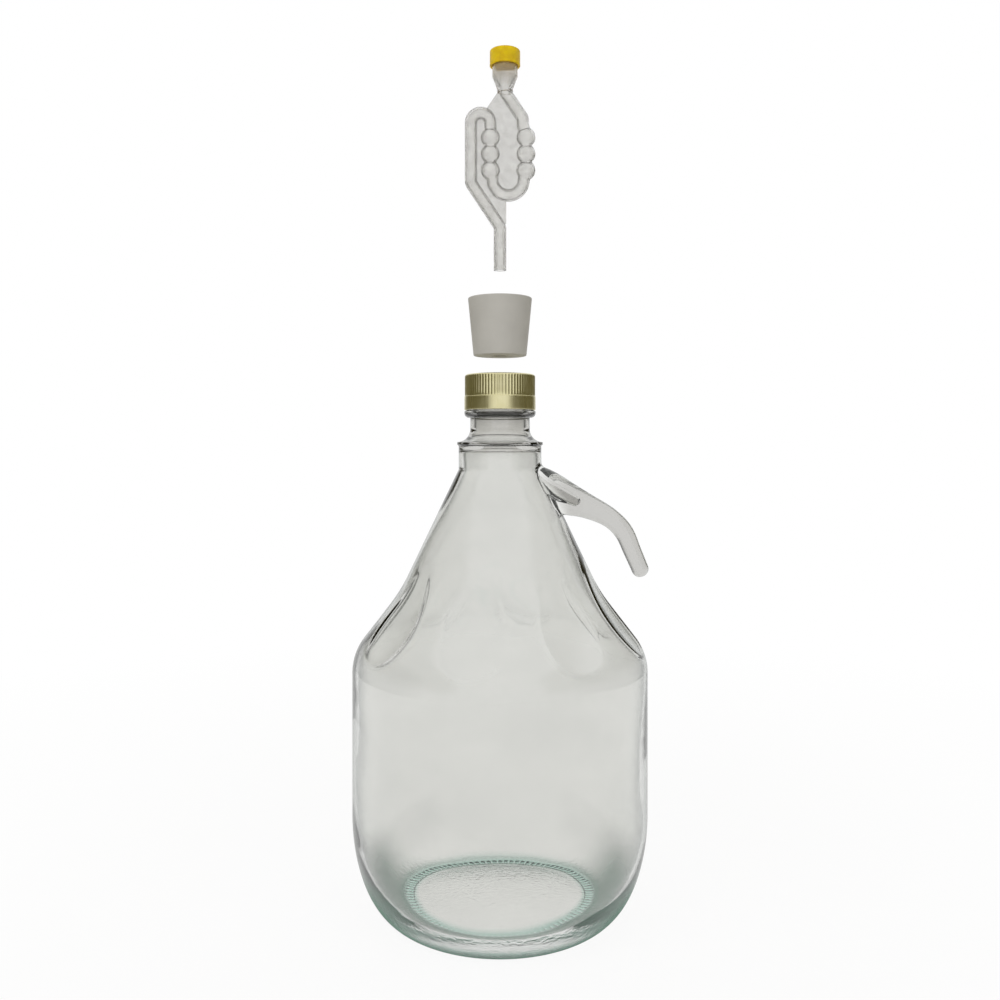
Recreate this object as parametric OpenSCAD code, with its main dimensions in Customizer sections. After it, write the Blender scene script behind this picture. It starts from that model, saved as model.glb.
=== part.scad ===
// Fermentation jar with airlock.
// The origin is the centre of the jar's foot. +Z is up and +X points at the handle.

/* [Jar body] */
// Outer radius of the upright wall
body_r = 93.4; // [90:0.2:97]
// Thickness of the glass wall
wall = 3.4; // [2.6:0.1:4]
// Outer radius of the ring that the jar stands on
foot_r = 63; // [58:0.5:68]
// Width of that ring
ring_w = 7; // [4:0.5:10]
// Height of the curved heel
heel_h = 64; // [56:1:72]
// How far the middle of the base is pushed up
push_h = 4; // [2:0.5:6]
// Thickness of the base
base_t = 6; // [4:0.5:8]
// Height at which the shoulder starts to curve in
shoulder_z = 152; // [145:1:160]
// Radius of the shoulder's curve
shoulder_r = 32; // [28:1:36]
// Lean of the shoulder's flank from upright
flank_angle = 37.6; // [35:0.2:40]
// Length of the flank
flank_len = 28.3; // [24:0.5:32]
// Radius of the hollow curve between the flank and the cone
blend_r = 100; // [80:5:130]
// Lean of the cone from upright
cone_angle = 25.6; // [24:0.2:27]

/* [Thumbprints] */
// Number of oval thumbprints round the shoulder
thumb_count = 8; // [6:1:9]
// How far round the shoulder's curve a thumbprint starts, in degrees
thumb_foot_angle = 24; // [16:1:32]
// How far up the cone a thumbprint ends
thumb_head_len = 6.3; // [2:0.5:12]
// Depth of a thumbprint below the straight line between its ends
thumb_depth = 4.6; // [3.5:0.1:6]
// Radius of a thumbprint across its width
thumb_cross_r = 100; // [60:5:140]

/* [Neck] */
// Outer radius of the upright wall under the collar
collar_wall_r = 26.4; // [25.4:0.2:27.4]
// Height of that wall
collar_wall_h = 15.1; // [8:0.1:17]
// How far the collar stands out from that wall
collar_overhang = 1; // [0.4:0.1:2]
// Height of the collar's edge
collar_edge_h = 2.4; // [1.6:0.1:3.6]
// Outer radius of the neck
neck_r = 19; // [18.2:0.1:19.6]
// Height of the neck's straight part
neck_h = 7.1; // [6:0.1:12]
// Radius of the neck's bore
bore_r = 15.75; // [14.5:0.25:16.25]
// Radius of the glass bead under the cap
bead_r = 22.8; // [22:0.1:23.6]
// Height of the bead
bead_h = 4.4; // [4:0.1:7]
// Radius of the bead's rounded lower edge
bead_round = 3; // [2:0.1:3.5]
// Outer radius of the glass that carries the thread
finish_r = 20; // [19.6:0.1:20.4]
// Height from the bead to the lip
finish_h = 20.5; // [19:0.5:23]
// Radius of the mouth at the lip
mouth_r = 17.8; // [17.4:0.1:18.2]
// Depth over which the mouth narrows to the bore
mouth_depth = 14; // [10:1:18]
// Width of the worn edge on the lip and on the bead's top
lip_edge = 0.7; // [0.3:0.1:1]

/* [Screw thread] */
// Rise of the thread in one turn
pitch = 4; // [3.6:0.1:4.6]
// Turns of thread on the glass
glass_turns = 1.75; // [1.25:0.25:2]
// Turns of thread in the cap's insert
cap_turns = 1.5; // [1:0.25:1.5]
// Height of a thread's ridge
thread_depth = 0.9; // [0.7:0.1:1]
// Width of a ridge at its root
ridge_root_w = 1.9; // [1.5:0.1:2]
// Width of a ridge at its crest
ridge_crest_w = 0.9; // [0.6:0.1:1.1]
// Height of the glass thread's lower end above the bead
thread_start = 9.4; // [8:0.2:10.6]
// Clearance between the thread on the glass and the thread in the cap
thread_gap = 0.3; // [0.2:0.05:0.4]

/* [Screw cap] */
// Thickness of the sealing liner
liner_t = 1.2; // [0.8:0.1:2]
// Side wall of the threaded insert
insert_wall = 0.6; // [0.5:0.1:1]
// Top of the threaded insert
insert_top = 1; // [0.7:0.1:1.6]
// Gap between the insert and the metal shell
shell_gap = 0.05; // [0.02:0.01:0.1]
// Thickness of the metal shell at the foot of its flutes
shell_wall = 0.4; // [0.3:0.05:0.7]
// Depth of the flutes
flute_depth = 0.2; // [0.1:0.05:0.3]
// Number of flutes
flute_count = 72; // [48:4:84]
// How far the smooth band stands out past the flutes
band_step = 0.3; // [0.1:0.05:0.6]
// Height of the smooth band
band_h = 8.6; // [6:0.2:11]
// Radius of the shell's rounded top edge
shell_round = 1.6; // [0.8:0.1:2.2]
// Gap between the glass bead and the screwed-down cap
skirt_gap = 0.5; // [0.3:0.1:1.5]

/* [Handle] */
// How far the handle's tip stands out from the jar's axis
handle_reach = 89; // [86:0.5:92]
// How far the centre of the tip hangs below the top of the cone
handle_drop = 61.6; // [56:0.2:66]
// Half the thickness of the leg, across the handle
handle_half_t = 6.2; // [5:0.2:7.5]
// Half the width of the leg, seen from the side
handle_half_w = 5.4; // [4.6:0.2:6.2]
// Radius of the hollow in the handle's root where it opens into the jar
pocket_r = 7; // [5.5:0.5:7.5]
// Radius of that hollow's blind end
pocket_tip_r = 2.6; // [2:0.2:3.2]
// How far the hollow reaches out into the handle
pocket_reach = 23; // [16:1:26]
// Drop of the hollow from the jar's wall to its blind end
pocket_drop = 10.2; // [8:0.2:13]

/* [Stopper] */
// Radius of the stopper's lower end
stopper_low_r = 17; // [16.4:0.1:17.4]
// Radius of the stopper's upper end
stopper_top_r = 20.4; // [19.6:0.1:21.4]
// Height of the stopper
stopper_h = 37; // [32:1:42]
// Radius of the stopper's rounded edges
stopper_round = 0.8; // [0.4:0.1:1.4]
// Width of the chamfer round the hole's upper end
hole_chamfer = 0.7; // [0.3:0.1:1.2]
// Clearance between the airlock's stem and the stopper's hole
stem_gap = 0.3; // [0.1:0.05:0.5]
// Space between the screw cap and the lifted stopper
stopper_lift = 12; // [6:0.2:20]

/* [Airlock] */
// Space between the stopper and the lifted airlock
airlock_lift = 17.7; // [6:0.1:20]
// Turn of the airlock's flat side about the jar's axis, away from the handle's plane
airlock_turn = 12; // [0:1:30]
// Outer radius of the stem and the tubes
tube_r = 4; // [3.6:0.1:4.3]
// Radius of the bore in the stem and the tubes
tube_bore_r = 2.7; // [2.2:0.1:3]
// How far an elbow's round corner stands out past its tubes
elbow_swell = 0.1; // [0.05:0.05:0.3]
// Height of the elbow at the top of the stem
elbow_z = 28; // [26:0.5:32]
// Distance of the straight down tube from the stem's axis
side_tube_x = 18.5; // [17:0.5:20]
// Height at which the slanted tube meets the down tube
slant_top_z = 56; // [53:0.5:59]
// Distance of the first bulb column from the stem's axis, on the down tube's side
near_column_x = 6.2; // [5.6:0.2:6.6]
// Distance of the second bulb column from the stem's axis, on the other side
far_column_x = 16.6; // [15.8:0.2:17.2]
// Outer radius of a bulb
bulb_r = 6.1; // [5.6:0.1:6.3]
// Thickness of a bulb's wall
bulb_wall = 1.1; // [0.8:0.1:1.4]
// Height of the lowest bulb's centre
bulb_z = 64; // [62:0.5:66]
// Distance from one bulb to the next
bulb_step = 10.5; // [9.6:0.1:11]
// Bulbs in one column
bulb_count = 3; // [2:1:3]
// Thickness of the flat web between the tubes
web_t = 1.6; // [1.2:0.1:2.4]
// How far the web's corners keep clear of the ends of the tubes that they meet
web_inset = 2; // [1:0.5:3]
// Straight length from the top of a bulb column to the bend above it
bend_rise = 3.4; // [2:0.1:5]
// How far the low bend's ends lie inside the columns' axes
bend_inset = 1.5; // [0:0.1:2]
// How far the far column's tube leans in on its way up to its elbow
far_lean = 2.1; // [1:0.1:3]
// Height of that elbow above the ends of the top bend
far_rise = 2.7; // [2.3:0.1:4]
// Distance of the cup's axis from the stem's axis
cup_x = 3.2; // [0:0.2:5]
// Height of the elbow under the cup
cup_elbow_z = 114; // [112:0.5:117]
// Outer radius of the cup's neck
cup_neck_r = 5.1; // [4.8:0.1:5.6]
// Height of the cup's neck
cup_neck_h = 2; // [1:0.5:4]
// Outer radius of the cup
cup_r = 8.1; // [7.6:0.1:9]
// Thickness of the cup's wall
cup_wall = 1.1; // [0.8:0.1:1.5]
// Height of the cup's flare, from its neck to its straight wall
flare_h = 8; // [6:0.5:10]
// Height of the cup's straight wall
cup_h = 15; // [13:0.2:19]

/* [Dust cap] */
// Thickness of the dust cap's skirt
dust_wall = 1.2; // [0.9:0.1:1.6]
// Thickness of the dust cap's top
dust_top_t = 1.2; // [0.9:0.1:2]
// Length of the dust cap's skirt
dust_skirt = 8.8; // [6:0.1:12]
// Depth of the plug ring that centres the dust cap in the cup
plug_h = 4; // [2:0.5:6]
// Clearance between the dust cap and the cup
dust_gap = 0.4; // [0.3:0.05:0.6]
// Space between the cup's rim and the seated dust cap
rim_gap = 0.3; // [0.2:0.05:0.4]
// Radius of the dust cap's rounded top edge
dust_round = 1; // [0.5:0.1:1.6]
// Width of the bead round the skirt's lower edge
dust_bead = 0.1; // [0.1:0.1:0.4]

/* [Hidden] */
$fn = 96;
// Steps in the drawn curves of an outline
arc_steps = 6;
// Overlap of a ridge with the wall that it stands on
sink = 0.4;
// How far a cutter runs past the face that it cuts
past = 1;
// Steps in one turn of a thread, and in its run-out
thread_steps = 48;
run_out_steps = 8;

// Points of a circle's arc, by its centre, radius and first and last angle
function arc(c, r, a0, a1, n = arc_steps) =
    [for (i = [0 : n]) let (a = a0 + (a1 - a0) * i / n) c + r * [cos(a), sin(a)]];
function last(list) = list[len(list) - 1];

// The shoulder's outline from the upright wall to the collar's wall, moved in by d
shoulder_c = [body_r - shoulder_r, shoulder_z];
flank_dir = [-sin(flank_angle), cos(flank_angle)];
flank_out = [cos(flank_angle), sin(flank_angle)];
cone_dir = [-sin(cone_angle), cos(cone_angle)];
function flank_foot(d) = shoulder_c + (shoulder_r - d) * flank_out;
function flank_head(d) = flank_foot(d) + flank_len * flank_dir;
function blend(d) = arc(flank_head(d) + (blend_r + d) * flank_out, blend_r + d,
                        180 + flank_angle, 180 + cone_angle);
function cone_head(d) = let (p = last(blend(d)))
    p + (p[0] - collar_wall_r + d) / sin(cone_angle) * cone_dir;
function shoulder(d) = concat(arc(shoulder_c, shoulder_r - d, 0, flank_angle),
                              blend(d), [cone_head(d)]);

// Heights, from the shoulder up
collar_z = cone_head(0)[1] + collar_wall_h;
collar_r = collar_wall_r + collar_overhang;
collar_top_z = collar_z + collar_edge_h;
neck_flare = collar_r - neck_r;
neck_z = collar_top_z + neck_flare;
bead_z = neck_z + neck_h;
finish_z = bead_z + bead_h;
lip_z = finish_z + finish_h;
floor_r = foot_r - base_t;
floor_z = push_h + base_t;

// The screw cap, from the glass out
thread_r = finish_r + thread_depth;
insert_bore_r = thread_r + thread_gap;
insert_r = insert_bore_r + insert_wall;
insert_z = finish_z + skirt_gap;
insert_top_z = lip_z + liner_t + insert_top;
shell_bore_r = insert_r + shell_gap;
flute_foot_r = shell_bore_r + shell_wall;
flute_r = flute_foot_r + flute_depth;
band_r = flute_r + band_step;
shell_in_z = insert_top_z + shell_gap;
shell_top_z = shell_in_z + shell_wall;

// The stopper and the airlock as they are lifted
stopper_z = shell_top_z + stopper_lift;
airlock_z = stopper_z + stopper_h + airlock_lift;
hole_r = tube_r + stem_gap;

// The airlock's own heights are above its tip
column_top_z = bulb_z + (bulb_count - 1) * bulb_step + bulb_r;
bend_z = column_top_z + bend_rise;
top_bend_x = -(side_tube_x + near_column_x) / 2;
top_bend_r = (side_tube_x - near_column_x) / 2;
low_bend_x = (far_column_x - near_column_x) / 2;
low_bend_r = (far_column_x + near_column_x) / 2 - bend_inset;
low_bend_z = bulb_z - bulb_r;
far_elbow = [far_column_x - far_lean, bend_z + far_rise];
cup_foot_z = cup_elbow_z + cup_neck_h;
cup_wall_z = cup_foot_z + flare_h;
cup_rim_z = cup_wall_z + cup_h;
cup_bore_r = cup_r - cup_wall;
dust_bore_r = cup_r + dust_gap;
dust_r = dust_bore_r + dust_wall;
dust_in_z = cup_rim_z + rim_gap;
dust_top_z = dust_in_z + dust_top_t;
plug_r = cup_bore_r - dust_gap;

// A dome's height at radius r, for a dome of radius edge_r and height h
function dome(r, edge_r, h) = h * (1 - pow(r / edge_r, 2));

// Quarter ellipse of the heel, from the foot to the upright wall
function heel(r0, z0, r1) = [for (i = [0 : 2 * arc_steps]) let (a = 90 * i / (2 * arc_steps))
    [r0 + (r1 - r0) * sin(a), z0 + (heel_h - z0) * (1 - cos(a))]];

module jar_outline() {
    ring_in_r = foot_r - ring_w;
    polygon(concat(
        [for (i = [0 : arc_steps - 1]) let (r = ring_in_r * i / arc_steps)
            [r, dome(r, ring_in_r, push_h)]],
        [[ring_in_r, 0]],
        heel(foot_r, 0, body_r),
        shoulder(0),
        [[collar_wall_r, collar_z],
         [collar_r, collar_z + collar_overhang],
         [collar_r, collar_top_z]],
        arc([collar_r, neck_z], neck_flare, -95, -180),
        arc([bead_r - bead_round, bead_z + bead_round], bead_round, -90, 0, 4),
        [[bead_r, finish_z - lip_edge],
         [bead_r - lip_edge, finish_z],
         [finish_r, finish_z],
         [finish_r, lip_z - lip_edge],
         [finish_r - lip_edge, lip_z],
         [0, lip_z]]));
}

module cavity_outline() {
    in_r = body_r - wall;
    neck_foot = [collar_wall_r - wall, collar_z - wall];
    neck_throat = [bore_r + neck_flare / 3, collar_top_z];
    polygon(concat(
        [for (i = [0 : arc_steps - 1]) let (r = floor_r * i / arc_steps)
            [r, floor_z - push_h + dome(r, floor_r, push_h)]],
        heel(floor_r, floor_z - push_h, in_r),
        shoulder(wall),
        [neck_foot, neck_throat,
         [bore_r, neck_z],
         [bore_r, lip_z - mouth_depth],
         [mouth_r, lip_z],
         [mouth_r, lip_z + past],
         [0, lip_z + past]]));
}

// The tool that leaves a thumbprint. It is a slice of a ring whose big circle joins the
// thumbprint's two ends, and d makes it larger all round
module thumb_tool(d) {
    foot = shoulder_c + shoulder_r * [cos(thumb_foot_angle), sin(thumb_foot_angle)];
    head = last(blend(0)) + thumb_head_len * cone_dir;
    half = norm(head - foot) / 2;
    along = (head - foot) / (2 * half);
    out = [along[1], -along[0]];
    long_r = (half * half + thumb_depth * thumb_depth) / (2 * thumb_depth);
    centre = (foot + head) / 2 + (long_r - thumb_depth) * out;
    lean = atan2(-out[1], -out[0]);
    sweep = asin((half + thumb_depth) / long_r);
    side = 4 * body_r;
    translate([centre[0], 0, centre[1]]) rotate([90, 0, 0]) rotate([0, 0, lean - sweep])
        rotate_extrude(angle = 2 * sweep)
            intersection() {
                translate([long_r - thumb_cross_r, 0]) circle(thumb_cross_r + d);
                translate([long_r - 3 * thumb_depth, -side / 2]) square(side);
            }
}

module thumb_tools(d) {
    for (i = [0 : thumb_count - 1]) rotate([0, 0, 360 * i / thumb_count]) thumb_tool(d);
}

// A closed skin over rings of points that follow one another
module skin(rings) {
    n = len(rings[0]);
    m = len(rings);
    sides = [for (j = [0 : m - 2], i = [0 : n - 1]) let (k = (i + 1) % n)
        each [[j * n + i, j * n + k, (j + 1) * n + k],
              [j * n + i, (j + 1) * n + k, (j + 1) * n + i]]];
    polyhedron([for (r = rings) each r],
               concat([[for (i = [n - 1 : -1 : 0]) i]], sides,
                      [[for (i = [0 : n - 1]) (m - 1) * n + i]]));
}

// The ridge of a thread from base_r to crest_r, which fades in and out at its ends
module ridge(base_r, root_r, crest_r, turns, z) {
    steps = round(turns * thread_steps);
    skin([for (j = [0 : steps])
        let (a = 360 * turns * j / steps,
             fade = min(1, j / run_out_steps, (steps - j) / run_out_steps),
             r = root_r + (crest_r - root_r) * fade + (base_r - root_r) * (1 - fade) / 2,
             u = [cos(a), sin(a)],
             at = function (rr, h) [rr * u[0], rr * u[1], z + h + pitch * a / 360],
             ring = [at(base_r, -ridge_root_w / 2), at(r, -ridge_crest_w / 2),
                     at(r, ridge_crest_w / 2), at(base_r, ridge_root_w / 2)])
        crest_r > root_r ? ring : [for (i = [3 : -1 : 0]) ring[i]]]);
}

// The handle's centre line: distance out, height, half width and half thickness. It starts
// inside the cone's top and ends at the tip
root = cone_head(0);
tip = [handle_reach, root[1] - handle_drop];
handle_line = [
    [root[0] - 24.4, root[1] - 1.3, 10, 12],
    [root[0] - 12.4, root[1] - 5.8, 11, 12],
    [root[0] - 0.4, root[1] - 10.3, 12, 11],
    [root[0] + 11.6, root[1] - 16.3, 11.6, 9.5],
    [root[0] + 28.6, root[1] - 22.5, 7.9, 7.6],
    [tip[0] - 19.5, tip[1] + 32.1, handle_half_w + 0.8, handle_half_t + 0.6],
    [tip[0] - 10.4, tip[1] + 23.3, handle_half_w + 0.5, handle_half_t + 0.2],
    [tip[0] - 4.9, tip[1] + 11.3, handle_half_w + 0.1, handle_half_t],
    [tip[0], tip[1], handle_half_w - 0.2, handle_half_t - 0.2],
    [tip[0] + 2, tip[1] - 4.6, handle_half_w - 0.2, handle_half_t - 0.2]];

// Smooth value between the second and third of four, at t from 0 to 1
function between(a, b, c, d, t) = 0.5 * (2 * b + (c - a) * t + (2 * a - 5 * b + 4 * c - d) * t * t
                                         + (3 * b - a - 3 * c + d) * t * t * t);
function handle_at(s) = let (i = min(floor(s), len(handle_line) - 4), t = s - i)
    between(handle_line[i], handle_line[i + 1], handle_line[i + 2], handle_line[i + 3], t);
function boxy(v) = sign(v) * pow(abs(v), 0.85);

// One ring of the handle round p, with its plane square to dir and its size times k
function handle_ring(p, dir, k) = let (side = [-dir[1], dir[0]])
    [for (i = [0 : 23]) let (a = 15 * i, w = boxy(cos(a)) * p[2] * k, t = boxy(sin(a)) * p[3] * k)
        [p[0] + side[0] * w, t, p[1] + side[1] * w]];

module handle() {
    end = len(handle_line) - 3;
    function way(s) = let (v = handle_at(min(s + 0.02, end)) - handle_at(max(s - 0.02, 0)))
        [v[0], v[1]] / norm([v[0], v[1]]);
    foot = handle_at(end);
    foot_way = way(end);
    skin(concat(
        [for (j = [0 : 3 * end]) let (s = j / 3) handle_ring(handle_at(s), way(s), 1)],
        [for (a = [30, 55, 75]) let (go = foot_way * foot[2] * sin(a) * 0.9)
            handle_ring([foot[0] + go[0], foot[1] + go[1], foot[2], foot[3]], foot_way, cos(a))]));
}

// The hollow that the jar's inside makes in the handle's root
module pocket() {
    from = [handle_line[2][0], handle_line[2][1] + past / 2];
    way = [pocket_reach, -pocket_drop];
    translate([from[0], 0, from[1]]) rotate([0, atan2(way[0], way[1]), 0]) {
        cylinder(h = norm(way), r1 = pocket_r, r2 = pocket_tip_r);
        translate([0, 0, norm(way) - pocket_tip_r / 9]) sphere(pocket_tip_r * 1.02);
    }
}

module jar() {
    color([0.8, 0.88, 0.85, 0.4]) difference() {
        union() {
            difference() {
                rotate_extrude() jar_outline();
                thumb_tools(0);
            }
            handle();
            ridge(finish_r - sink, finish_r, thread_r, glass_turns, finish_z + thread_start);
        }
        difference() {
            rotate_extrude() cavity_outline();
            thumb_tools(wall);
        }
        pocket();
    }
}

module cap_liner() {
    color("whitesmoke") translate([0, 0, lip_z]) cylinder(h = liner_t, r = insert_bore_r - thread_gap);
}

module cap_insert() {
    drop = (ridge_root_w + ridge_crest_w) / 2 + thread_gap;
    color("ivory") union() {
        difference() {
            translate([0, 0, insert_z]) cylinder(h = insert_top_z - insert_z, r = insert_r);
            translate([0, 0, insert_z - past])
                cylinder(h = insert_top_z - insert_top - insert_z + past, r = insert_bore_r);
        }
        ridge(insert_bore_r + sink, insert_bore_r, finish_r + thread_gap, cap_turns,
              finish_z + thread_start - drop);
    }
}

module cap_shell() {
    flute_z = insert_z + band_h;
    color([0.76, 0.66, 0.32]) difference() {
        rotate_extrude() polygon(concat(
            [[shell_bore_r, insert_z], [band_r, insert_z], [band_r, flute_z], [flute_r, flute_z + band_step]],
            arc([flute_r - shell_round, shell_top_z - shell_round], shell_round, 0, 90),
            [[0, shell_top_z], [0, shell_in_z], [shell_bore_r, shell_in_z]]));
        translate([0, 0, flute_z + band_step])
            linear_extrude(shell_top_z - shell_round - flute_z - band_step)
                for (i = [0 : flute_count - 1]) rotate(360 * i / flute_count)
                    translate([flute_r + sink, 0]) circle(flute_depth + sink);
    }
}

module stopper() {
    low = stopper_low_r;
    top = stopper_top_r;
    e = stopper_round;
    color([0.86, 0.85, 0.82]) translate([0, 0, stopper_z]) difference() {
        rotate_extrude() polygon(concat(
            [[0, 0]], arc([low - e, e], e, -90, 0, 4),
            arc([top - e, stopper_h - e], e, 0, 90, 4), [[0, stopper_h]]));
        translate([0, 0, -past]) cylinder(h = stopper_h + 2 * past, r = hole_r);
        translate([0, 0, stopper_h - hole_chamfer])
            cylinder(h = hole_chamfer + past, r1 = hole_r, r2 = hole_r + hole_chamfer + past);
    }
}

// A straight round bar between two points in the airlock's plane
module bar(a, b, r) {
    way = b - a;
    translate([a[0], 0, a[1]]) rotate([0, atan2(way[0], way[1]), 0]) cylinder(h = norm(way), r = r);
}

module ball(p, r) {
    translate([p[0], 0, p[1]]) sphere(r);
}

// A bend through half a turn about c, above it or below it
module half_bend(c, r, tube, up) {
    translate([c[0], 0, c[1]]) rotate([90, 0, 0]) rotate([0, 0, up ? 0 : 180])
        rotate_extrude(angle = 180) translate([r, 0]) circle(tube);
}

// The airlock's tubes and bulbs, as solid bodies of a tube radius r and a bulb radius b
module water_path(r, b) {
    side_foot = [-side_tube_x, slant_top_z];
    side_head = [-side_tube_x, bend_z];
    near_head = [-near_column_x, bend_z];
    near_foot = [low_bend_x - low_bend_r, low_bend_z];
    far_foot = [low_bend_x + low_bend_r, low_bend_z];
    stem_head = [0, elbow_z];
    cup_elbow = [cup_x, cup_elbow_z];
    bar([0, 0], stem_head, r);
    ball(stem_head, r + elbow_swell);
    bar(stem_head, side_foot, r);
    ball(side_foot, r + elbow_swell);
    bar(side_foot, side_head, r);
    half_bend([top_bend_x, bend_z], top_bend_r, r, true);
    bar([-near_column_x, bulb_z], near_head, r);
    half_bend([low_bend_x, low_bend_z], low_bend_r, r, false);
    bar(near_foot, near_foot + [0, bulb_r], r);
    bar(far_foot, far_foot + [0, bulb_r], r);
    for (x = [-near_column_x, far_column_x], i = [0 : bulb_count - 1])
        ball([x, bulb_z + i * bulb_step], b);
    bar([far_column_x, bulb_z], [far_column_x, column_top_z - bulb_r], r);
    bar([far_elbow[0], column_top_z - bulb_r], far_elbow, r);
    ball(far_elbow, r + elbow_swell);
    bar(far_elbow, cup_elbow, r);
    ball(cup_elbow, r + elbow_swell);
    bar(cup_elbow, [cup_x, cup_foot_z + past], r);
}

module cup(outer) {
    neck = outer ? cup_neck_r : tube_bore_r;
    r = outer ? cup_r : cup_bore_r;
    d = outer ? 0 : past;
    bow = outer ? cup_wall : 0.9 * cup_wall;
    translate([cup_x, 0, 0]) rotate_extrude() polygon([
        [0, cup_elbow_z], [neck, cup_elbow_z], [neck, cup_foot_z + d], [r - bow, cup_wall_z + d - bow],
        [r, cup_wall_z + d], [r, cup_rim_z + d], [0, cup_rim_z + d]]);
}

// The flat web that joins the tubes, as an outline in the airlock's plane
module web_outline() {
    polygon([[-side_tube_x, slant_top_z], [0, elbow_z], [tube_r, elbow_z + web_inset],
             [tube_r, low_bend_z - low_bend_r], [far_column_x, low_bend_z + web_inset],
             [far_column_x, column_top_z - web_inset], far_elbow, [cup_x, cup_elbow_z],
             [cup_x - cup_neck_r + 0.3 * web_inset, cup_elbow_z],
             [top_bend_x + 2 * web_inset, bend_z + top_bend_r + 1.5 * web_inset],
             [top_bend_x, bend_z + top_bend_r],
             [-side_tube_x, bend_z]]);
}

// One moulded half of the airlock: the front has side -1 and the back has side 1
module airlock_half(side) {
    span = cup_rim_z;
    translate([0, 0, airlock_z]) rotate([0, 0, airlock_turn]) difference() {
        intersection() {
            union() {
                water_path(tube_r, bulb_r);
                cup(true);
                rotate([90, 0, 0]) linear_extrude(web_t, center = true) web_outline();
            }
            translate([-span, side < 0 ? -span : 0, -past]) cube([2 * span, span, span + 2 * past]);
        }
        water_path(tube_bore_r, bulb_r - bulb_wall);
        cup(false);
        translate([0, 0, -past]) cylinder(h = 2 * past, r = tube_bore_r);
    }
}

module airlock_front() {
    color([0.88, 0.9, 0.9, 0.5]) airlock_half(-1);
}

module airlock_back() {
    color([0.88, 0.9, 0.9, 0.5]) airlock_half(1);
}

module dust_cap() {
    skirt_z = dust_in_z - dust_skirt;
    color([0.93, 0.76, 0.12]) translate([0, 0, airlock_z]) rotate([0, 0, airlock_turn])
        translate([cup_x, 0, 0]) rotate_extrude() polygon(concat(
            [[dust_bore_r, skirt_z], [dust_r + dust_bead, skirt_z], [dust_r, skirt_z + 20 * dust_bead]],
            arc([dust_r - dust_round, dust_top_z - dust_round], dust_round, 0, 90, 4),
            [[0, dust_top_z], [0, dust_in_z], [plug_r - dust_wall, dust_in_z],
             [plug_r - dust_wall, dust_in_z - plug_h], [plug_r, dust_in_z - plug_h],
             [plug_r, dust_in_z], [dust_bore_r, dust_in_z]]));
}

jar();
cap_liner();
cap_insert();
cap_shell();
stopper();
airlock_front();
airlock_back();
dust_cap();
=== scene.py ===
"""A clear glass jug with a hook handle and a gold screw cap, and its rubber stopper and airlock
lifted above it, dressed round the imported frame. Lengths are in metres and angles in radians."""

import math

import bpy
import numpy as np
from bpy.props import FloatProperty, FloatVectorProperty, IntProperty, PointerProperty
from mathutils import Matrix, Vector


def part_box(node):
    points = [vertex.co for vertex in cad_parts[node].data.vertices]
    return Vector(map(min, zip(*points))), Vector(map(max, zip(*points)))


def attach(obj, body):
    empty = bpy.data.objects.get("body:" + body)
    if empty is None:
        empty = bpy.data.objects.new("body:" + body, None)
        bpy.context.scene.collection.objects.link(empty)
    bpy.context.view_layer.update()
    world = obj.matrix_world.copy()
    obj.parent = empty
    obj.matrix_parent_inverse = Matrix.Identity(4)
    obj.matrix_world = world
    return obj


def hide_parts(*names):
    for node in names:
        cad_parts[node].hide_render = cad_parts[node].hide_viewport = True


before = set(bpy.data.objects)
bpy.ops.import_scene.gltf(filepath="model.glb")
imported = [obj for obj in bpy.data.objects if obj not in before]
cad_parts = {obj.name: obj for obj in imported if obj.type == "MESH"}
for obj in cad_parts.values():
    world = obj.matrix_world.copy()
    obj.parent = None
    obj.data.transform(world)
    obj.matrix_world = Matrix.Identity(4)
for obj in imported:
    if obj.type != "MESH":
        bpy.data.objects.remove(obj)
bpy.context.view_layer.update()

bl_info = {
    "name": "Fermentation Jar with Airlock",
    "version": (1, 0, 0),
    "blender": (4, 5, 0),
    "location": "View3D > Sidebar > Ferment Jar",
    "description": "Builds a glass jug, its screw cap, stopper and airlock",
    "category": "Object",
}

JAR_LOW, JAR_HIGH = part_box("jar")
SHELL_LOW, SHELL_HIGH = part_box("cap_shell")
STOPPER_LOW, STOPPER_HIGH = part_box("stopper")
AIRLOCK_LOW, AIRLOCK_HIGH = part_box("airlock_front")
DUST_LOW, DUST_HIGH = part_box("dust_cap")

# Segments round the jar's plain walls, its foot, its thumbprints outside and inside, and its collar
WALL_SEGMENTS, FOOT_SEGMENTS, COLLAR_SEGMENTS = 256, 768, 192
PRINT_SEGMENTS, INNER_PRINT_SEGMENTS = 640, 512
HANDLE_SEGMENTS, POCKET_SEGMENTS, TUBE_SEGMENTS, CUP_SEGMENTS = 48, 32, 40, 64
FOOT_ROUND = 0.0008  # rounding of the ring that the jar stands on
SOFT_EDGE = 0.0005  # rounding of the collar's and the neck's small edges

# Places along the handle's root: offset from the cone's top, half width and half thickness
HANDLE_ROOT = ((-0.0244, -0.0013, 0.010, 0.012), (-0.0124, -0.0058, 0.011, 0.012),
               (-0.0004, -0.0103, 0.012, 0.011), (0.0116, -0.0163, 0.0116, 0.0095),
               (0.0286, -0.0225, 0.0079, 0.0076))
# Places along its leg: offset from the tip, and what the half width and half thickness gain there
HANDLE_LEG = ((-0.0195, 0.0321, 0.0008, 0.0006), (-0.0104, 0.0233, 0.0005, 0.0002),
              (-0.0049, 0.0113, 0.0001, 0.0), (0.0, 0.0, -0.0002, -0.0002),
              (0.002, -0.0046, -0.0002, -0.0002))
# Ends of the hollow in the handle's root, as offsets from the cone's top
POCKET_START, POCKET_END = (-0.0064, -0.0078), (-0.0004, -0.0098)


def length(name, description, default):
    return FloatProperty(name=name, description=description, default=default, unit="LENGTH",
                         min=0.0)


def angle(name, description, degrees):
    return FloatProperty(name=name, description=description, default=math.radians(degrees),
                         unit="ROTATION")


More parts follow.
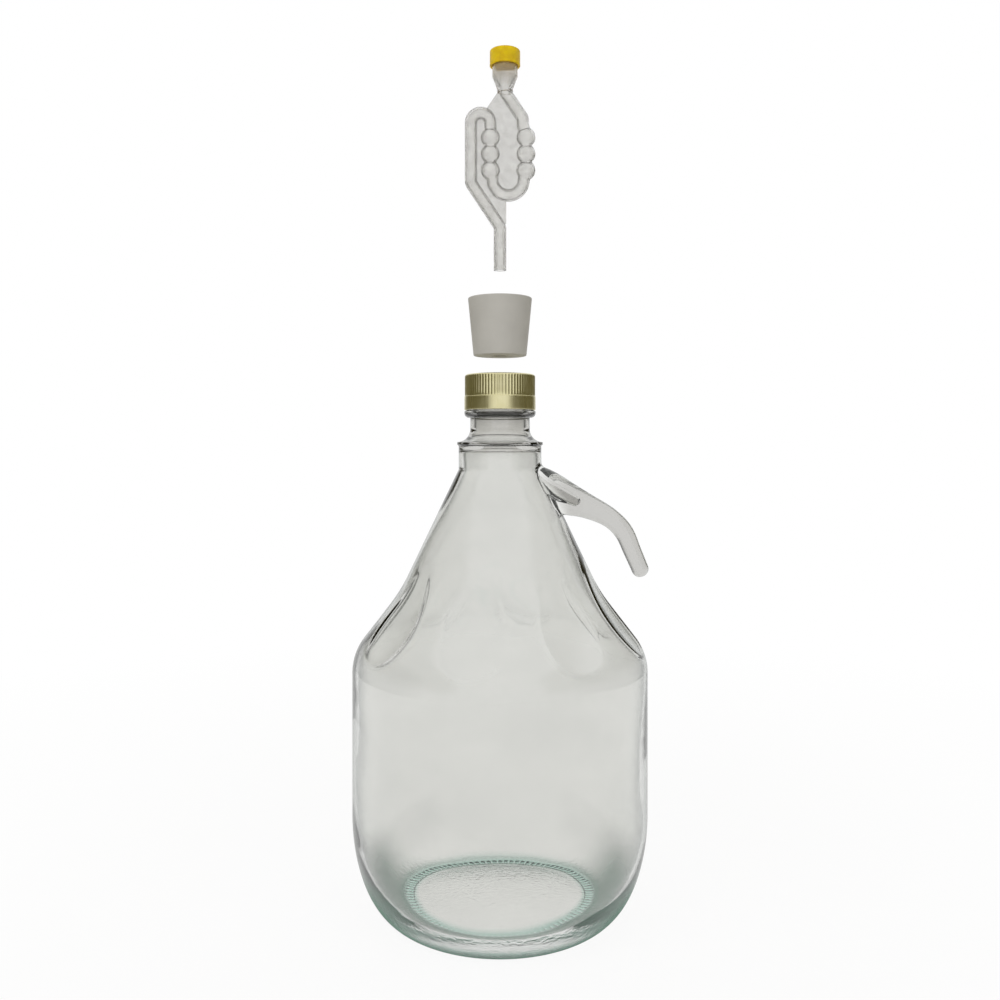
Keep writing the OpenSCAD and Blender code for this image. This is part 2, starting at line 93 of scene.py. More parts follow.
def tint(name, description, default):
    return FloatVectorProperty(name=name, description=description, default=default,
                               subtype="COLOR", size=3, min=0, max=1)


class JarSizes(bpy.types.PropertyGroup):
    """Sizes of the glass jar's body, shoulder and base."""

    body_r: length("Body radius", "Outer radius of the upright wall", -JAR_LOW.y)
    wall: length("Wall", "Thickness of the glass wall", 0.0034)
    foot_r: length("Foot radius", "Outer radius of the ring that the jar stands on", 0.063)
    ring_w: length("Ring width", "Width of the ring that the jar stands on", 0.007)
    heel_h: length("Heel height", "Height of the curved heel", 0.064)
    push_h: length("Push-up", "How far the middle of the base is pushed up", 0.004)
    base_t: length("Base thickness", "Thickness of the base", 0.006)
    shoulder_z: length("Shoulder height", "Height at which the shoulder starts to curve in", 0.152)
    shoulder_r: length("Shoulder radius", "Radius of the shoulder's curve", 0.032)
    flank_angle: angle("Flank lean", "Lean of the shoulder's flank from upright", 37.6)
    flank_len: length("Flank length", "Length of the flank", 0.0283)
    blend_r: length("Blend radius", "Radius of the hollow curve between the flank and the cone", 0.1)
    cone_angle: angle("Cone lean", "Lean of the cone from upright", 25.6)
    ripple: length("Ripple", "Unevenness of the inner face", 0.00022)
    grip_count: IntProperty(name="Grip bars", description="Short bars round the foot", default=96)
    grip_h: length("Grip bar height", "Height of those bars", 0.0004)


class ThumbSizes(bpy.types.PropertyGroup):
    """Sizes of the oval thumbprints round the shoulder."""

    count: IntProperty(name="Thumbprints", description="Number of thumbprints round the shoulder", default=8)
    foot_angle: angle("Foot angle", "How far round the shoulder's curve a thumbprint starts", 24)
    head_len: length("Head length", "How far up the cone a thumbprint ends", 0.0063)
    depth: length("Depth", "Depth below the straight line between its ends", 0.0046)
    cross_r: length("Cross radius", "Radius across a thumbprint's width", 0.1)
    edge: length("Edge", "Softness of a thumbprint's edge outside", 0.0002)
    edge_in: length("Inner edge", "Softness of a thumbprint's edge inside the jar", 0.0005)


class NeckSizes(bpy.types.PropertyGroup):
    """Sizes of the collar, neck, bead and thread."""

    collar_wall_r: length("Collar wall radius", "Outer radius of the upright wall under the collar", 0.0264)
    collar_wall_h: length("Collar wall height", "Height of that wall", 0.0151)
    collar_overhang: length("Collar overhang", "How far the collar stands out", 0.001)
    collar_edge_h: length("Collar edge", "Height of the collar's edge", 0.0024)
    neck_r: length("Neck radius", "Outer radius of the neck", 0.019)
    neck_h: length("Neck height", "Height of the neck's straight part", 0.0071)
    bore_r: length("Bore radius", "Radius of the neck's bore", 0.01575)
    bead_r: length("Bead radius", "Radius of the glass bead under the cap", 0.0228)
    bead_h: length("Bead height", "Height of the bead", 0.0044)
    bead_round: length("Bead rounding", "Radius of the bead's lower edge", 0.003)
    finish_r: length("Finish radius", "Outer radius of the glass that carries the thread", 0.02)
    mouth_r: length("Mouth radius", "Radius of the mouth at the lip", 0.0178)
    mouth_depth: length("Mouth depth", "Depth over which the mouth narrows to the bore", 0.014)
    lip_edge: length("Lip edge", "Rounding of the lip and of the bead's top", 0.0007)
    pitch: length("Pitch", "Rise of the thread in one turn", 0.004)
    turns: FloatProperty(name="Turns", description="Turns of thread on the glass", default=1.75)
    thread_depth: length("Thread depth", "Height of the thread's ridge", 0.0009)
    thread_w: length("Thread width", "Width of the ridge at its root", 0.0019)
    thread_start: length("Thread start", "Height of the thread's lower end above the bead", 0.0094)


class HandleSizes(bpy.types.PropertyGroup):
    """Sizes of the hook handle and of the hollow in its root."""

    reach: length("Reach", "How far the tip stands out from the jar's axis", 0.089)
    drop: length("Drop", "How far the tip hangs below the top of the cone", 0.0616)
    half_t: length("Half thickness", "Half the thickness of the leg, across the handle", 0.0062)
    half_w: length("Half width", "Half the width of the leg, seen from the side", 0.0054)
    pocket_r: length("Hollow radius", "Radius of the hollow where it opens into the jar", 0.007)
    pocket_tip_r: length("Hollow tip", "Radius of the hollow's blind end", 0.0026)
    pocket_reach: length("Hollow reach", "How far the hollow reaches out into the handle", 0.023)
    pocket_drop: length("Hollow drop", "How far the hollow drops on its way", 0.0102)
    fillet: length("Fillet", "Width of the rounding where the handle meets the jar", 0.005)


class CapSizes(bpy.types.PropertyGroup):
    """Sizes of the fluted screw cap."""

    wall: length("Wall", "Thickness of the metal at the foot of the flutes", 0.00045)
    gap: length("Gap", "Gap between the insert and the metal", 0.00005)
    flute_depth: length("Flute depth", "Depth of the flutes", 0.00015)
    flute_count: IntProperty(name="Flutes", description="Number of flutes", default=72)
    band_step: length("Band step", "How far the smooth band stands out", 0.0003)
    band_h: length("Band height", "Height of the smooth band", 0.0086)
    round_r: length("Top rounding", "Radius of the rounded top edge", 0.0016)


class StopperSizes(bpy.types.PropertyGroup):
    """Sizes of the rubber stopper."""

    low_r: length("Lower radius", "Radius of the lower end", 0.017)
    top_r: length("Upper radius", "Radius of the upper end", STOPPER_HIGH.x)
    edge: length("Edge", "Radius of the rounded edges", 0.0008)
    hole_r: length("Hole radius", "Radius of the hole for the airlock's stem", 0.0043)
    chamfer: length("Chamfer", "Width of the chamfer round the hole's upper end", 0.0007)


class AirlockSizes(bpy.types.PropertyGroup):
    """Sizes of the airlock's tubes, bulbs, web and cup."""

    turn: angle("Turn", "Turn of the flat side about the jar's axis", 12)
    tube_r: length("Tube radius", "Outer radius of the stem and the tubes", 0.004)
    bore_r: length("Bore radius", "Radius of the bore in the tubes", 0.0027)
    elbow_z: length("Stem elbow", "Height of the elbow above the tip", 0.028)
    side_x: length("Side tube", "Distance of the side tube from the stem's axis", 0.0185)
    slant_z: length("Slant top", "Height at which the slanted tube meets the side tube", 0.056)
    near_x: length("Near column", "Distance of the first bulb column from the stem's axis", 0.0062)
    far_x: length("Far column", "Distance of the second bulb column from the stem's axis", 0.0166)
    bulb_r: length("Bulb radius", "Outer radius of a bulb", 0.0061)
    bulb_wall: length("Bulb wall", "Thickness of a bulb's wall", 0.0011)
    bulb_z: length("Lowest bulb", "Height of the lowest bulb's centre", 0.064)
    bulb_step: length("Bulb step", "Distance from one bulb to the next", 0.0105)
    bulb_count: IntProperty(name="Bulbs", description="Bulbs in one column", default=3)
    web_t: length("Web", "Thickness of the flat web between the tubes", 0.0016)
    bend_rise: length("Bend rise", "Straight length from a column's top to the bend above it", 0.0034)
    bend_inset: length("Bend inset", "How far the low bend's ends lie inside the columns' axes", 0.0015)
    far_lean: length("Far lean", "How far the far column's tube leans in on its way up", 0.0021)
    far_rise: length("Far rise", "Height of its elbow above the ends of the top bend", 0.0027)
    cup_x: length("Cup offset", "Distance of the cup's axis from the stem's axis", 0.0032)
    cup_elbow_z: length("Cup elbow", "Height of the elbow under the cup", 0.114)
    cup_neck_r: length("Cup neck", "Outer radius of the cup's neck", 0.0051)
    cup_neck_h: length("Cup neck height", "Height of the cup's neck", 0.002)
    cup_r: length("Cup radius", "Outer radius of the cup", 0.0081)
    cup_wall: length("Cup wall", "Thickness of the cup's wall", 0.0011)
    flare_h: length("Flare", "Height of the cup's flare", 0.008)


class DustCapSizes(bpy.types.PropertyGroup):
    """Sizes of the yellow dust cap."""

    wall: length("Wall", "Thickness of the skirt and the top", 0.0012)
    gap: length("Gap", "Clearance between the dust cap and the cup", 0.0004)
    plug_h: length("Plug height", "Depth of the ring that centres it in the cup", 0.004)
    edge: length("Edge", "Radius of the rounded top edge", 0.001)


class Finishes(bpy.types.PropertyGroup):
    """Colours of the object's materials."""

    glass: tint("Glass", "What each face of the glass lets through", (0.818, 0.82, 0.80))
    glass_neck: tint("Glass at the neck", "The same at the neck", (0.735, 0.73, 0.705))
    glass_grip: tint("Glass of the handle", "The same on the solid handle", (0.57, 0.565, 0.545))
    glass_foot: tint("Glass at the foot", "The same at the thick foot", (0.36, 0.56, 0.49))
    # Painted shade: the rim colours darken the glass where it is seen edge on, grey on the body and dark
    # green at the foot
    glass_rim_shade: tint("Glass rim", "The same where the glass is seen edge on", (0.24, 0.27, 0.25))
    foot_rim_shade: tint("Foot rim", "The same where the foot is seen edge on", (0.09, 0.22, 0.17))
    # Painted shade: dark grey and dark green outlines mixed into the glass where it turns away from view
    glass_outline_shade: tint("Glass depth", "Grey of the glass seen edge on", (0.24, 0.26, 0.245))
    foot_outline_shade: tint("Foot depth", "Green of the thick foot seen edge on", (0.13, 0.265, 0.20))
    gold: tint("Gold", "Lacquer of the screw cap", (0.76, 0.71, 0.44))
    gold_dark: tint("Dark gold", "Lacquer in the flutes", (0.62, 0.57, 0.30))
    rubber: tint("Rubber", "Stopper", (0.50, 0.485, 0.45))
    plastic: tint("Clear plastic", "What each face of the airlock lets through", (0.87, 0.865, 0.85))
    # Painted shade: the plastic's colour where it is seen edge on
    plastic_rim_shade: tint("Clear plastic rim", "The same where it is seen edge on", (0.76, 0.76, 0.74))
    haze: tint("Haze", "Milky part of the clear plastic", (0.50, 0.49, 0.465))
    # Painted light: the yellow that the dust cap lets through, put into the haze at the cup
    cup_painted_yellow_light: tint("Haze at the cup", "The same where it takes up the dust cap's colour", (0.60, 0.47, 0.22))
    yellow: tint("Yellow", "Dust cap", (0.97, 0.79, 0.008))


class StageSettings(bpy.types.PropertyGroup):
    """The camera, the floor and the light."""

    azimuth: angle("Azimuth", "Turn of the camera from the -Y side towards +X", 12)
    distance: length("Distance", "Distance from the camera to the jar's axis", 0.63)
    eye_z: length("Eye height", "Height of the camera", 0.2925)
    lens: FloatProperty(name="Lens", description="Focal length in millimetres", default=35.46)
    shift: FloatProperty(name="Shift", description="Vertical shift of the frame", default=-0.052)
    ambient: FloatProperty(name="Ambient", description="Strength of the even light", default=0.72)
    key: FloatProperty(name="Key", description="Power of the key lamp in watts", default=7.0)


# ---------------------------------------------------------------- curves and outlines


def arc(centre, radius, start, end, steps):
    """Points of an arc by its centre, radius and first and last angle in degrees."""
    turn = np.radians(np.linspace(start, end, steps + 1))
    return np.column_stack([centre[0] + radius * np.cos(turn), centre[1] + radius * np.sin(turn)])


def line(start, end, step):
    """Evenly spaced points of a straight line, about a step apart, with both ends."""
    start, end = np.asarray(start, float), np.asarray(end, float)
    count = max(1, round(float(np.linalg.norm(end - start)) / step))
    return start + (end - start) * np.linspace(0, 1, count + 1)[:, None]


def chain(*parts):
    """One outline from several, with doubled points left out."""
    points = np.vstack(parts)
    keep = np.append(True, np.linalg.norm(np.diff(points, axis=0), axis=1) > 1e-7)
    return points[keep]


def rounded(points, radius, steps=6):
    """A polyline in a plane with its inner corners rounded by an arc of a radius."""
    points = [np.asarray(p, float) for p in points]
    made = [points[0]]
    for before, corner, after in zip(points, points[1:], points[2:]):
        into, out = corner - before, after - corner
        into, out = into / np.linalg.norm(into), out / np.linalg.norm(out)
        bend = math.acos(float(np.clip(into @ out, -1, 1)))
        if bend < 1e-3:
            continue
        back = radius * math.tan(bend / 2)
        middle = corner + (out - into) / np.linalg.norm(out - into) * radius / math.cos(bend / 2)
        first, last = corner - into * back - middle, corner + out * back - middle
        for t in np.linspace(0, 1, steps + 1):
            way = first * (1 - t) + last * t
            made.append(middle + way / np.linalg.norm(way) * radius)
    made.append(points[-1])
    return np.array(made)


def resampled(points, step):
    """The same curve with points a step apart."""
    legs = np.linalg.norm(np.diff(points, axis=0), axis=1)
    along = np.append(0, np.cumsum(legs))
    places = np.linspace(0, along[-1], max(2, round(along[-1] / step)) + 1)
    return np.column_stack([np.interp(places, along, points[:, i]) for i in range(points.shape[1])])


def softplus(value, width):
    """max(value, 0) with its corner rounded over a width."""
    return width * np.logaddexp(0, value / width)


# ---------------------------------------------------------------- meshes


def piece(name, verts, faces, material):
    """A smooth mesh object with one material."""
    mesh = bpy.data.meshes.new(name)
    mesh.from_pydata(np.asarray(verts).tolist(), [], faces)
    mesh.materials.append(material)
    mesh.polygons.foreach_set("use_smooth", [True] * len(mesh.polygons))
    mesh.update()
    made = bpy.data.objects.new(name, mesh)
    bpy.context.scene.collection.objects.link(made)
    return made


def between_rings(low, low_count, high, high_count):
    """Faces between two rings of points that may differ in number."""
    if low_count == high_count:
        following = [(i + 1) % low_count for i in range(low_count)]
        return [(low + i, low + j, high + j, high + i) for i, j in enumerate(following)]
    faces, i, j = [], 0, 0
    while i < low_count or j < high_count:
        a, b = low + i % low_count, high + j % high_count
        if j * low_count >= i * high_count and i < low_count:
            i += 1
            faces.append((a, low + i % low_count, b))
        else:
            j += 1
            faces.append((a, high + j % high_count, b))
    return faces


def turned(name, bands, material, move=None, loop=False):
    """A piece turned about the z axis. Each band is an outline and its number of segments. The outline
    runs with the material on its left, from a point on the axis to another, or in a loop."""
    rows = [(point, count) for outline, count in bands for point in outline]
    verts, faces, starts = [], [], []
    for (r, z), count in rows:
        starts.append(sum(len(v) for v in verts))
        if r < 1e-9:
            verts.append(np.array([[0, 0, z]]))
            continue
        turn = 2 * np.pi * np.arange(count) / count
        ring = np.column_stack([r * np.cos(turn), r * np.sin(turn), np.full(count, z)])
        verts.append(ring if move is None else move(ring))
    order = list(range(len(rows))) + ([0] if loop else [])
    for a, b in zip(order, order[1:]):
        low, high = len(verts[a]), len(verts[b])
        if low == 1:
            faces += [(starts[a], starts[b] + (i + 1) % high, starts[b] + i) for i in range(high)]
        elif high == 1:
            faces += [(starts[a] + i, starts[a] + (i + 1) % low, starts[b]) for i in range(low)]
        else:
            faces += between_rings(starts[a], low, starts[b], high)
    return piece(name, np.vstack(verts), faces, material)


def swept(name, rings, material):
    """A closed piece over rings of points that follow one another, with flat ends."""
    count, points = len(rings[0]), np.vstack(rings)
    faces = [tuple(range(count))[::-1]]
    for i in range(len(rings) - 1):
        faces += between_rings(i * count, count, (i + 1) * count, count)
    last = (len(rings) - 1) * count
    faces.append(tuple(last + i for i in range(count)))
    return piece(name, points, faces, material)


def settle(made):
    """Applies a piece's modifiers."""
    mesh = bpy.data.meshes.new_from_object(made.evaluated_get(bpy.context.evaluated_depsgraph_get()))
    old, made.data = made.data, mesh
    made.modifiers.clear()
    bpy.data.meshes.remove(old)
    mesh.polygons.foreach_set("use_smooth", [True] * len(mesh.polygons))
    return made


def combine(made, tool, operation):
    """Joins a tool to a piece, cuts it away or keeps what they share, and deletes the tool."""
    step = made.modifiers.new("combine", "BOOLEAN")
    step.operation = operation
    step.solver = "MANIFOLD"
    step.object = tool
    settle(made)
    if not made.data.polygons:
        raise RuntimeError(f"{made.name} came out empty")
    shape = tool.data
    bpy.data.objects.remove(tool)
    bpy.data.meshes.remove(shape)
    return made


def points_of(made):
    points = np.empty(len(made.data.vertices) * 3)
    made.data.vertices.foreach_get("co", points)
    return points.reshape(-1, 3)


def fillet(made, near, width, rounds=14):
    """Smooths a mesh where near(points) gives a distance smaller than a width."""
    points = points_of(made)
    weight = np.clip(1 - near(points) / width, 0, 1)
    weight = (weight * weight * (3 - 2 * weight))[:, None]
    ends = np.empty(len(made.data.edges) * 2, int)
    made.data.edges.foreach_get("vertices", ends)
    a, b = ends.reshape(-1, 2).T
    reach = (weight[a, 0] + weight[b, 0]) > 0
    a, b = a[reach], b[reach]
    degree = np.zeros(len(points))
    np.add.at(degree, a, 1)
    np.add.at(degree, b, 1)
    degree = np.maximum(degree, 1)[:, None]
    for _ in range(rounds):
        total = np.zeros_like(points)
        np.add.at(total, a, points[b])
        np.add.at(total, b, points[a])
        points += np.where(total.any(axis=1)[:, None], weight * 0.6 * (total / degree - points), 0)
    made.data.vertices.foreach_set("co", points.ravel())
    made.data.update()
    return made


# ---------------------------------------------------------------- materials


class Nodes:
    """A short way to write a node tree."""

    def __init__(self, tree):
        self.tree = tree
        tree.nodes.clear()

    def add(self, kind, settings=None, **inputs):
        node = self.tree.nodes.new(kind)
        for key, value in (settings or {}).items():
            setattr(node, key, value)
        for key, value in inputs.items():
            socket = node.inputs[int(key[1:])] if key[0] == "_" else node.inputs[key.replace("_", " ")]
            if isinstance(value, bpy.types.NodeSocket):
                self.tree.links.new(value, socket)
            else:
                socket.default_value = value
        return node

    def math(self, operation, *values):
        inputs = {f"_{i}": value for i, value in enumerate(values)}
        return self.add("ShaderNodeMath", {"operation": operation}, **inputs).outputs[0]

    def plus(self, first, second):
        return self.math("ADD", first, second)

    def times(self, first, second):
        return self.math("MULTIPLY", first, second)

    def mix(self, share, first, second):
        """A blend of two colours."""
        return self.add("ShaderNodeMix", {"data_type": "RGBA"}, _0=share, _6=first, _7=second).outputs[2]

    def blend(self, share, first, second):
        """A blend of two shaders."""
        return self.add("ShaderNodeMixShader", _0=share, _1=first, _2=second).outputs[0]

    def ramp(self, value, stops):
        node = self.add("ShaderNodeValToRGB", _0=value)
        marks = node.color_ramp.elements
        while len(marks) < len(stops):
            marks.new(0.5)
        for mark, (place, colour) in zip(marks, stops):
            mark.position = place
            mark.color = (*colour, 1)
        return node.outputs["Color"]

    def rise(self, value, start, end):
        """0 at the start and 1 at the end of a range, with soft ends."""
        return self.add("ShaderNodeMapRange", {"interpolation_type": "SMOOTHSTEP"}, Value=value,
                        From_Min=start, From_Max=end).outputs[0]

    def spread(self, value, low, high, start=0.0, end=1.0):
        """Low at the start and high at the end of a range."""
        return self.add("ShaderNodeMapRange", Value=value, From_Min=start, From_Max=end, To_Min=low,
                        To_Max=high).outputs[0]

    def spot(self, kind="Object"):
        return self.add("ShaderNodeTexCoord").outputs[kind]

    def split(self, vector):
        return self.add("ShaderNodeSeparateXYZ", _0=vector).outputs

    def norm(self, vector):
        return self.add("ShaderNodeVectorMath", {"operation": "LENGTH"}, _0=vector).outputs["Value"]

    def mapped(self, vector, **inputs):
        return self.add("ShaderNodeMapping", Vector=vector, **inputs).outputs[0]

    def facing(self, normal):
        """0 where a face looks at the viewer and 1 where it is seen edge on."""
        return self.add("ShaderNodeLayerWeight", Blend=0.5, Normal=normal).outputs["Facing"]

    def noise(self, scale, detail=2.0, vector=None):
        return self.add("ShaderNodeTexNoise", Vector=vector or self.spot(), Scale=scale,
                        Detail=detail).outputs["Fac"]

    def bump(self, height, strength, distance):
        return self.add("ShaderNodeBump", Height=height, Strength=strength,
                        Distance=distance).outputs["Normal"]


def material(name, shade):
    """A node material whose surface shade(nodes) returns."""
    made = bpy.data.materials.new(name)
    made.use_nodes = True
    nodes = Nodes(made.node_tree)
    nodes.add("ShaderNodeOutputMaterial", Surface=shade(nodes))
    return made


def rgba(colour):
    return (*colour, 1)


def clear_surface(nodes, facing, through, rim, ior, roughness, normal):
    """Clear glass or plastic with painted shade where it is seen edge on, and which lets the lamps through.
    """
    # Painted shade: the colour turns to the rim colour where the face is seen edge on
    colour = nodes.mix(nodes.rise(facing, 0.55, 1.0), through, rim)
    clear = nodes.add("ShaderNodeBsdfPrincipled", Base_Color=colour, Roughness=roughness, IOR=ior,
                      Normal=normal, Transmission_Weight=1.0).outputs[0]
    lamp_light = nodes.add("ShaderNodeBsdfTransparent", Color=through).outputs[0]
    shadow = nodes.add("ShaderNodeLightPath").outputs["Is Shadow Ray"]
    return nodes.blend(shadow, clear, lamp_light)


def glass_tint(nodes, look, radius, z, clouds, root):
    """What a face of the jar lets through: clouded, greyer at the neck and handle, green at the foot."""
    darker, lighter = ([min(1, c * share) for c in look.glass] for share in (0.93, 1.05))
    cloudy = nodes.mix(clouds, rgba(darker), rgba(lighter))
    body = nodes.mix(nodes.rise(z, 0.288, 0.296), cloudy, rgba(look.glass_neck))
    slope = 0.467
    from_cone = nodes.plus(radius, nodes.times(z, slope))
    cone_face = root[0] + slope * root[1]
    off_cone = nodes.rise(from_cone, cone_face + 0.002, cone_face + 0.009)
    handle = nodes.times(off_cone, nodes.rise(z, 0.200, 0.206))
    body = nodes.mix(handle, body, rgba(look.glass_grip))
    ring = nodes.times(nodes.rise(radius, 0.052, 0.058), nodes.rise(radius, 0.069, 0.062))
    foot = nodes.times(nodes.rise(z, 0.014, 0.004), ring)
    return nodes.mix(foot, body, rgba(look.glass_foot))


def inside_wall(nodes, jar, radius, z):
    """1 on the inside of the heel's wall and 0 on its outside. The jar's painted outline shade is stronger
    where it is 1.
    """
    drop = nodes.math("SUBTRACT", 1.0, nodes.math("DIVIDE", z, jar.heel_h))
    bulge = nodes.math("SQRT", nodes.math("SUBTRACT", 1.0, nodes.times(drop, drop)))
    outside = nodes.plus(nodes.times(bulge, jar.body_r - jar.foot_r), jar.foot_r)
    return nodes.rise(nodes.math("SUBTRACT", outside, radius), 0.001, 0.003)


def jar_glass(look, jar, root):
    def shade(nodes):
        spot = nodes.spot()
        place = nodes.split(spot)
        z = place["Z"]
        radius = nodes.norm(nodes.add("ShaderNodeCombineXYZ", _0=place["X"], _1=place["Y"]).outputs[0])
        clouds = nodes.noise(13.0, 2.0, nodes.mapped(spot, Scale=(1, 1, 2.2)))
        mottle = nodes.times(nodes.noise(330.0, 2.0, spot), nodes.times(nodes.rise(z, 0.016, 0.008), 0.4))
        normal = nodes.bump(nodes.plus(clouds, mottle), 0.25, 0.002)
        facing = nodes.facing(normal)
        # Painted shade: darker colour where the glass is seen edge on, greener towards the foot
        rim = nodes.mix(nodes.rise(z, 0.050, 0.012), rgba(look.glass_rim_shade), rgba(look.foot_rim_shade))
        through = glass_tint(nodes, look, radius, z, clouds, root)
        clear = clear_surface(nodes, facing, through, rim, 1.5, 0.0, normal)
        # Painted shade: a dark diffuse outline where faces turn away from view, stronger and green at the
        # thick foot and on the inside of the heel's wall
        low = nodes.times(nodes.rise(z, 0.046, 0.014), nodes.rise(radius, 0.060, 0.064))
        turned_away = nodes.plus(facing, nodes.times(inside_wall(nodes, jar, radius, z), 0.3))
        thick_outline_shade = nodes.times(nodes.times(nodes.rise(turned_away, 0.55, 0.88), 0.8), low)
        thin_outline_shade = nodes.times(nodes.rise(facing, 0.66, 1.0), 0.4)
        tone = nodes.mix(low, rgba(look.glass_outline_shade), rgba(look.foot_outline_shade))
        deep = nodes.add("ShaderNodeBsdfDiffuse", Color=tone).outputs[0]
        return nodes.blend(nodes.math("MAXIMUM", thick_outline_shade, thin_outline_shade), clear, deep)

    return material("green tinged glass", shade)


def airlock_plastic(look, turn):
    def shade(nodes):
        spot = nodes.spot()
        own = nodes.mapped(spot, Rotation=(0, 0, -turn))
        web = nodes.rise(nodes.math("ABSOLUTE", nodes.split(own)["Y"]), 0.0018, 0.0009)
        # Painted light: above this height the haze takes the dust cap's yellow and grows denser
        cup = nodes.rise(nodes.split(spot)["Z"], 0.524, 0.538)
        flow = nodes.noise(190.0, 3.0, spot)
        streak = nodes.noise(1.0, 2.0, nodes.mapped(own, Scale=(2600, 300, 90)))
        normal = nodes.bump(nodes.plus(flow, nodes.times(streak, 0.35)), 0.35, 0.0012)
        # Painted shade: the plastic darkens towards its rim colour where it is seen edge on
        clear = clear_surface(nodes, nodes.facing(normal), rgba(look.plastic), rgba(look.plastic_rim_shade),
                              1.49, 0.02, normal)
        haze = nodes.mix(cup, rgba(look.haze), rgba(look.cup_painted_yellow_light))
        milky_and_yellow_light = nodes.add("ShaderNodeBsdfDiffuse", Color=haze).outputs[0]
        dense = nodes.math("MAXIMUM", nodes.times(web, 0.2), nodes.times(cup, 0.2))
        return nodes.blend(nodes.plus(nodes.spread(flow, 0.04, 0.16, 0.3, 0.7), dense), clear, milky_and_yellow_light)

    return material("clear moulded plastic", shade)


def weld_seam():
    def shade(nodes):
        return nodes.add("ShaderNodeBsdfTransparent").outputs[0]

    return material("welded seam", shade)


def gold_lacquer(look):
    def shade(nodes):
        spot = nodes.spot()
        grain = nodes.noise(1.0, 3.0, nodes.mapped(spot, Scale=(900, 900, 30)))
        worn = nodes.noise(160.0, 4.0, spot)
        lacquer = nodes.ramp(worn, [(0.3, look.gold_dark), (0.62, look.gold)])
        colour = nodes.mix(0.45, lacquer, rgba(look.gold))
        return nodes.add("ShaderNodeBsdfPrincipled", Base_Color=colour, Metallic=1.0,
                         Roughness=nodes.spread(grain, 0.2, 0.42),
                         Normal=nodes.bump(grain, 0.2, 0.0001)).outputs[0]

    return material("gold lacquered metal", shade)


def white_rubber(look):
    def shade(nodes):
        cloud = nodes.noise(60.0, 4.0)
        speck = nodes.noise(1500.0, 2.0)
        dull = tuple(c * 0.9 for c in look.rubber)
        colour = nodes.ramp(cloud, [(0.3, dull), (0.7, look.rubber)])
        normal = nodes.bump(nodes.plus(cloud, nodes.times(speck, 0.5)), 0.3, 0.0003)
        return nodes.add("ShaderNodeBsdfPrincipled", Base_Color=colour, Normal=normal,
                         Roughness=nodes.spread(speck, 0.5, 0.75), Specular_IOR_Level=0.35).outputs[0]

    return material("white rubber", shade)


def yellow_plastic(look):
    def shade(nodes):
        cloud = nodes.noise(220.0, 3.0)
        deep = (look.yellow[0] * 0.8, look.yellow[1] * 0.7, look.yellow[2])
        colour = nodes.ramp(cloud, [(0.25, deep), (0.75, look.yellow)])
        skin = nodes.add("ShaderNodeBsdfPrincipled", Base_Color=colour, Specular_IOR_Level=0.3,
                         Roughness=nodes.spread(cloud, 0.28, 0.42),
                         Normal=nodes.bump(cloud, 0.15, 0.0003)).outputs[0]
        glow = nodes.add("ShaderNodeBsdfTranslucent", Color=colour).outputs[0]
        return nodes.blend(0.42, skin, glow)

    return material("yellow moulded plastic", shade)


def pale_plastic(name, colour, scale, strength):
    def shade(nodes):
        grain = nodes.noise(scale, 3.0)
        dull = tuple(c * 0.93 for c in colour)
        shown = nodes.ramp(grain, [(0.3, dull), (0.7, colour)])
        return nodes.add("ShaderNodeBsdfPrincipled", Base_Color=shown,
                         Roughness=nodes.spread(grain, 0.45, 0.7),
                         Normal=nodes.bump(grain, strength, 0.0002)).outputs[0]

    return material(name, shade)


# ---------------------------------------------------------------- the jar


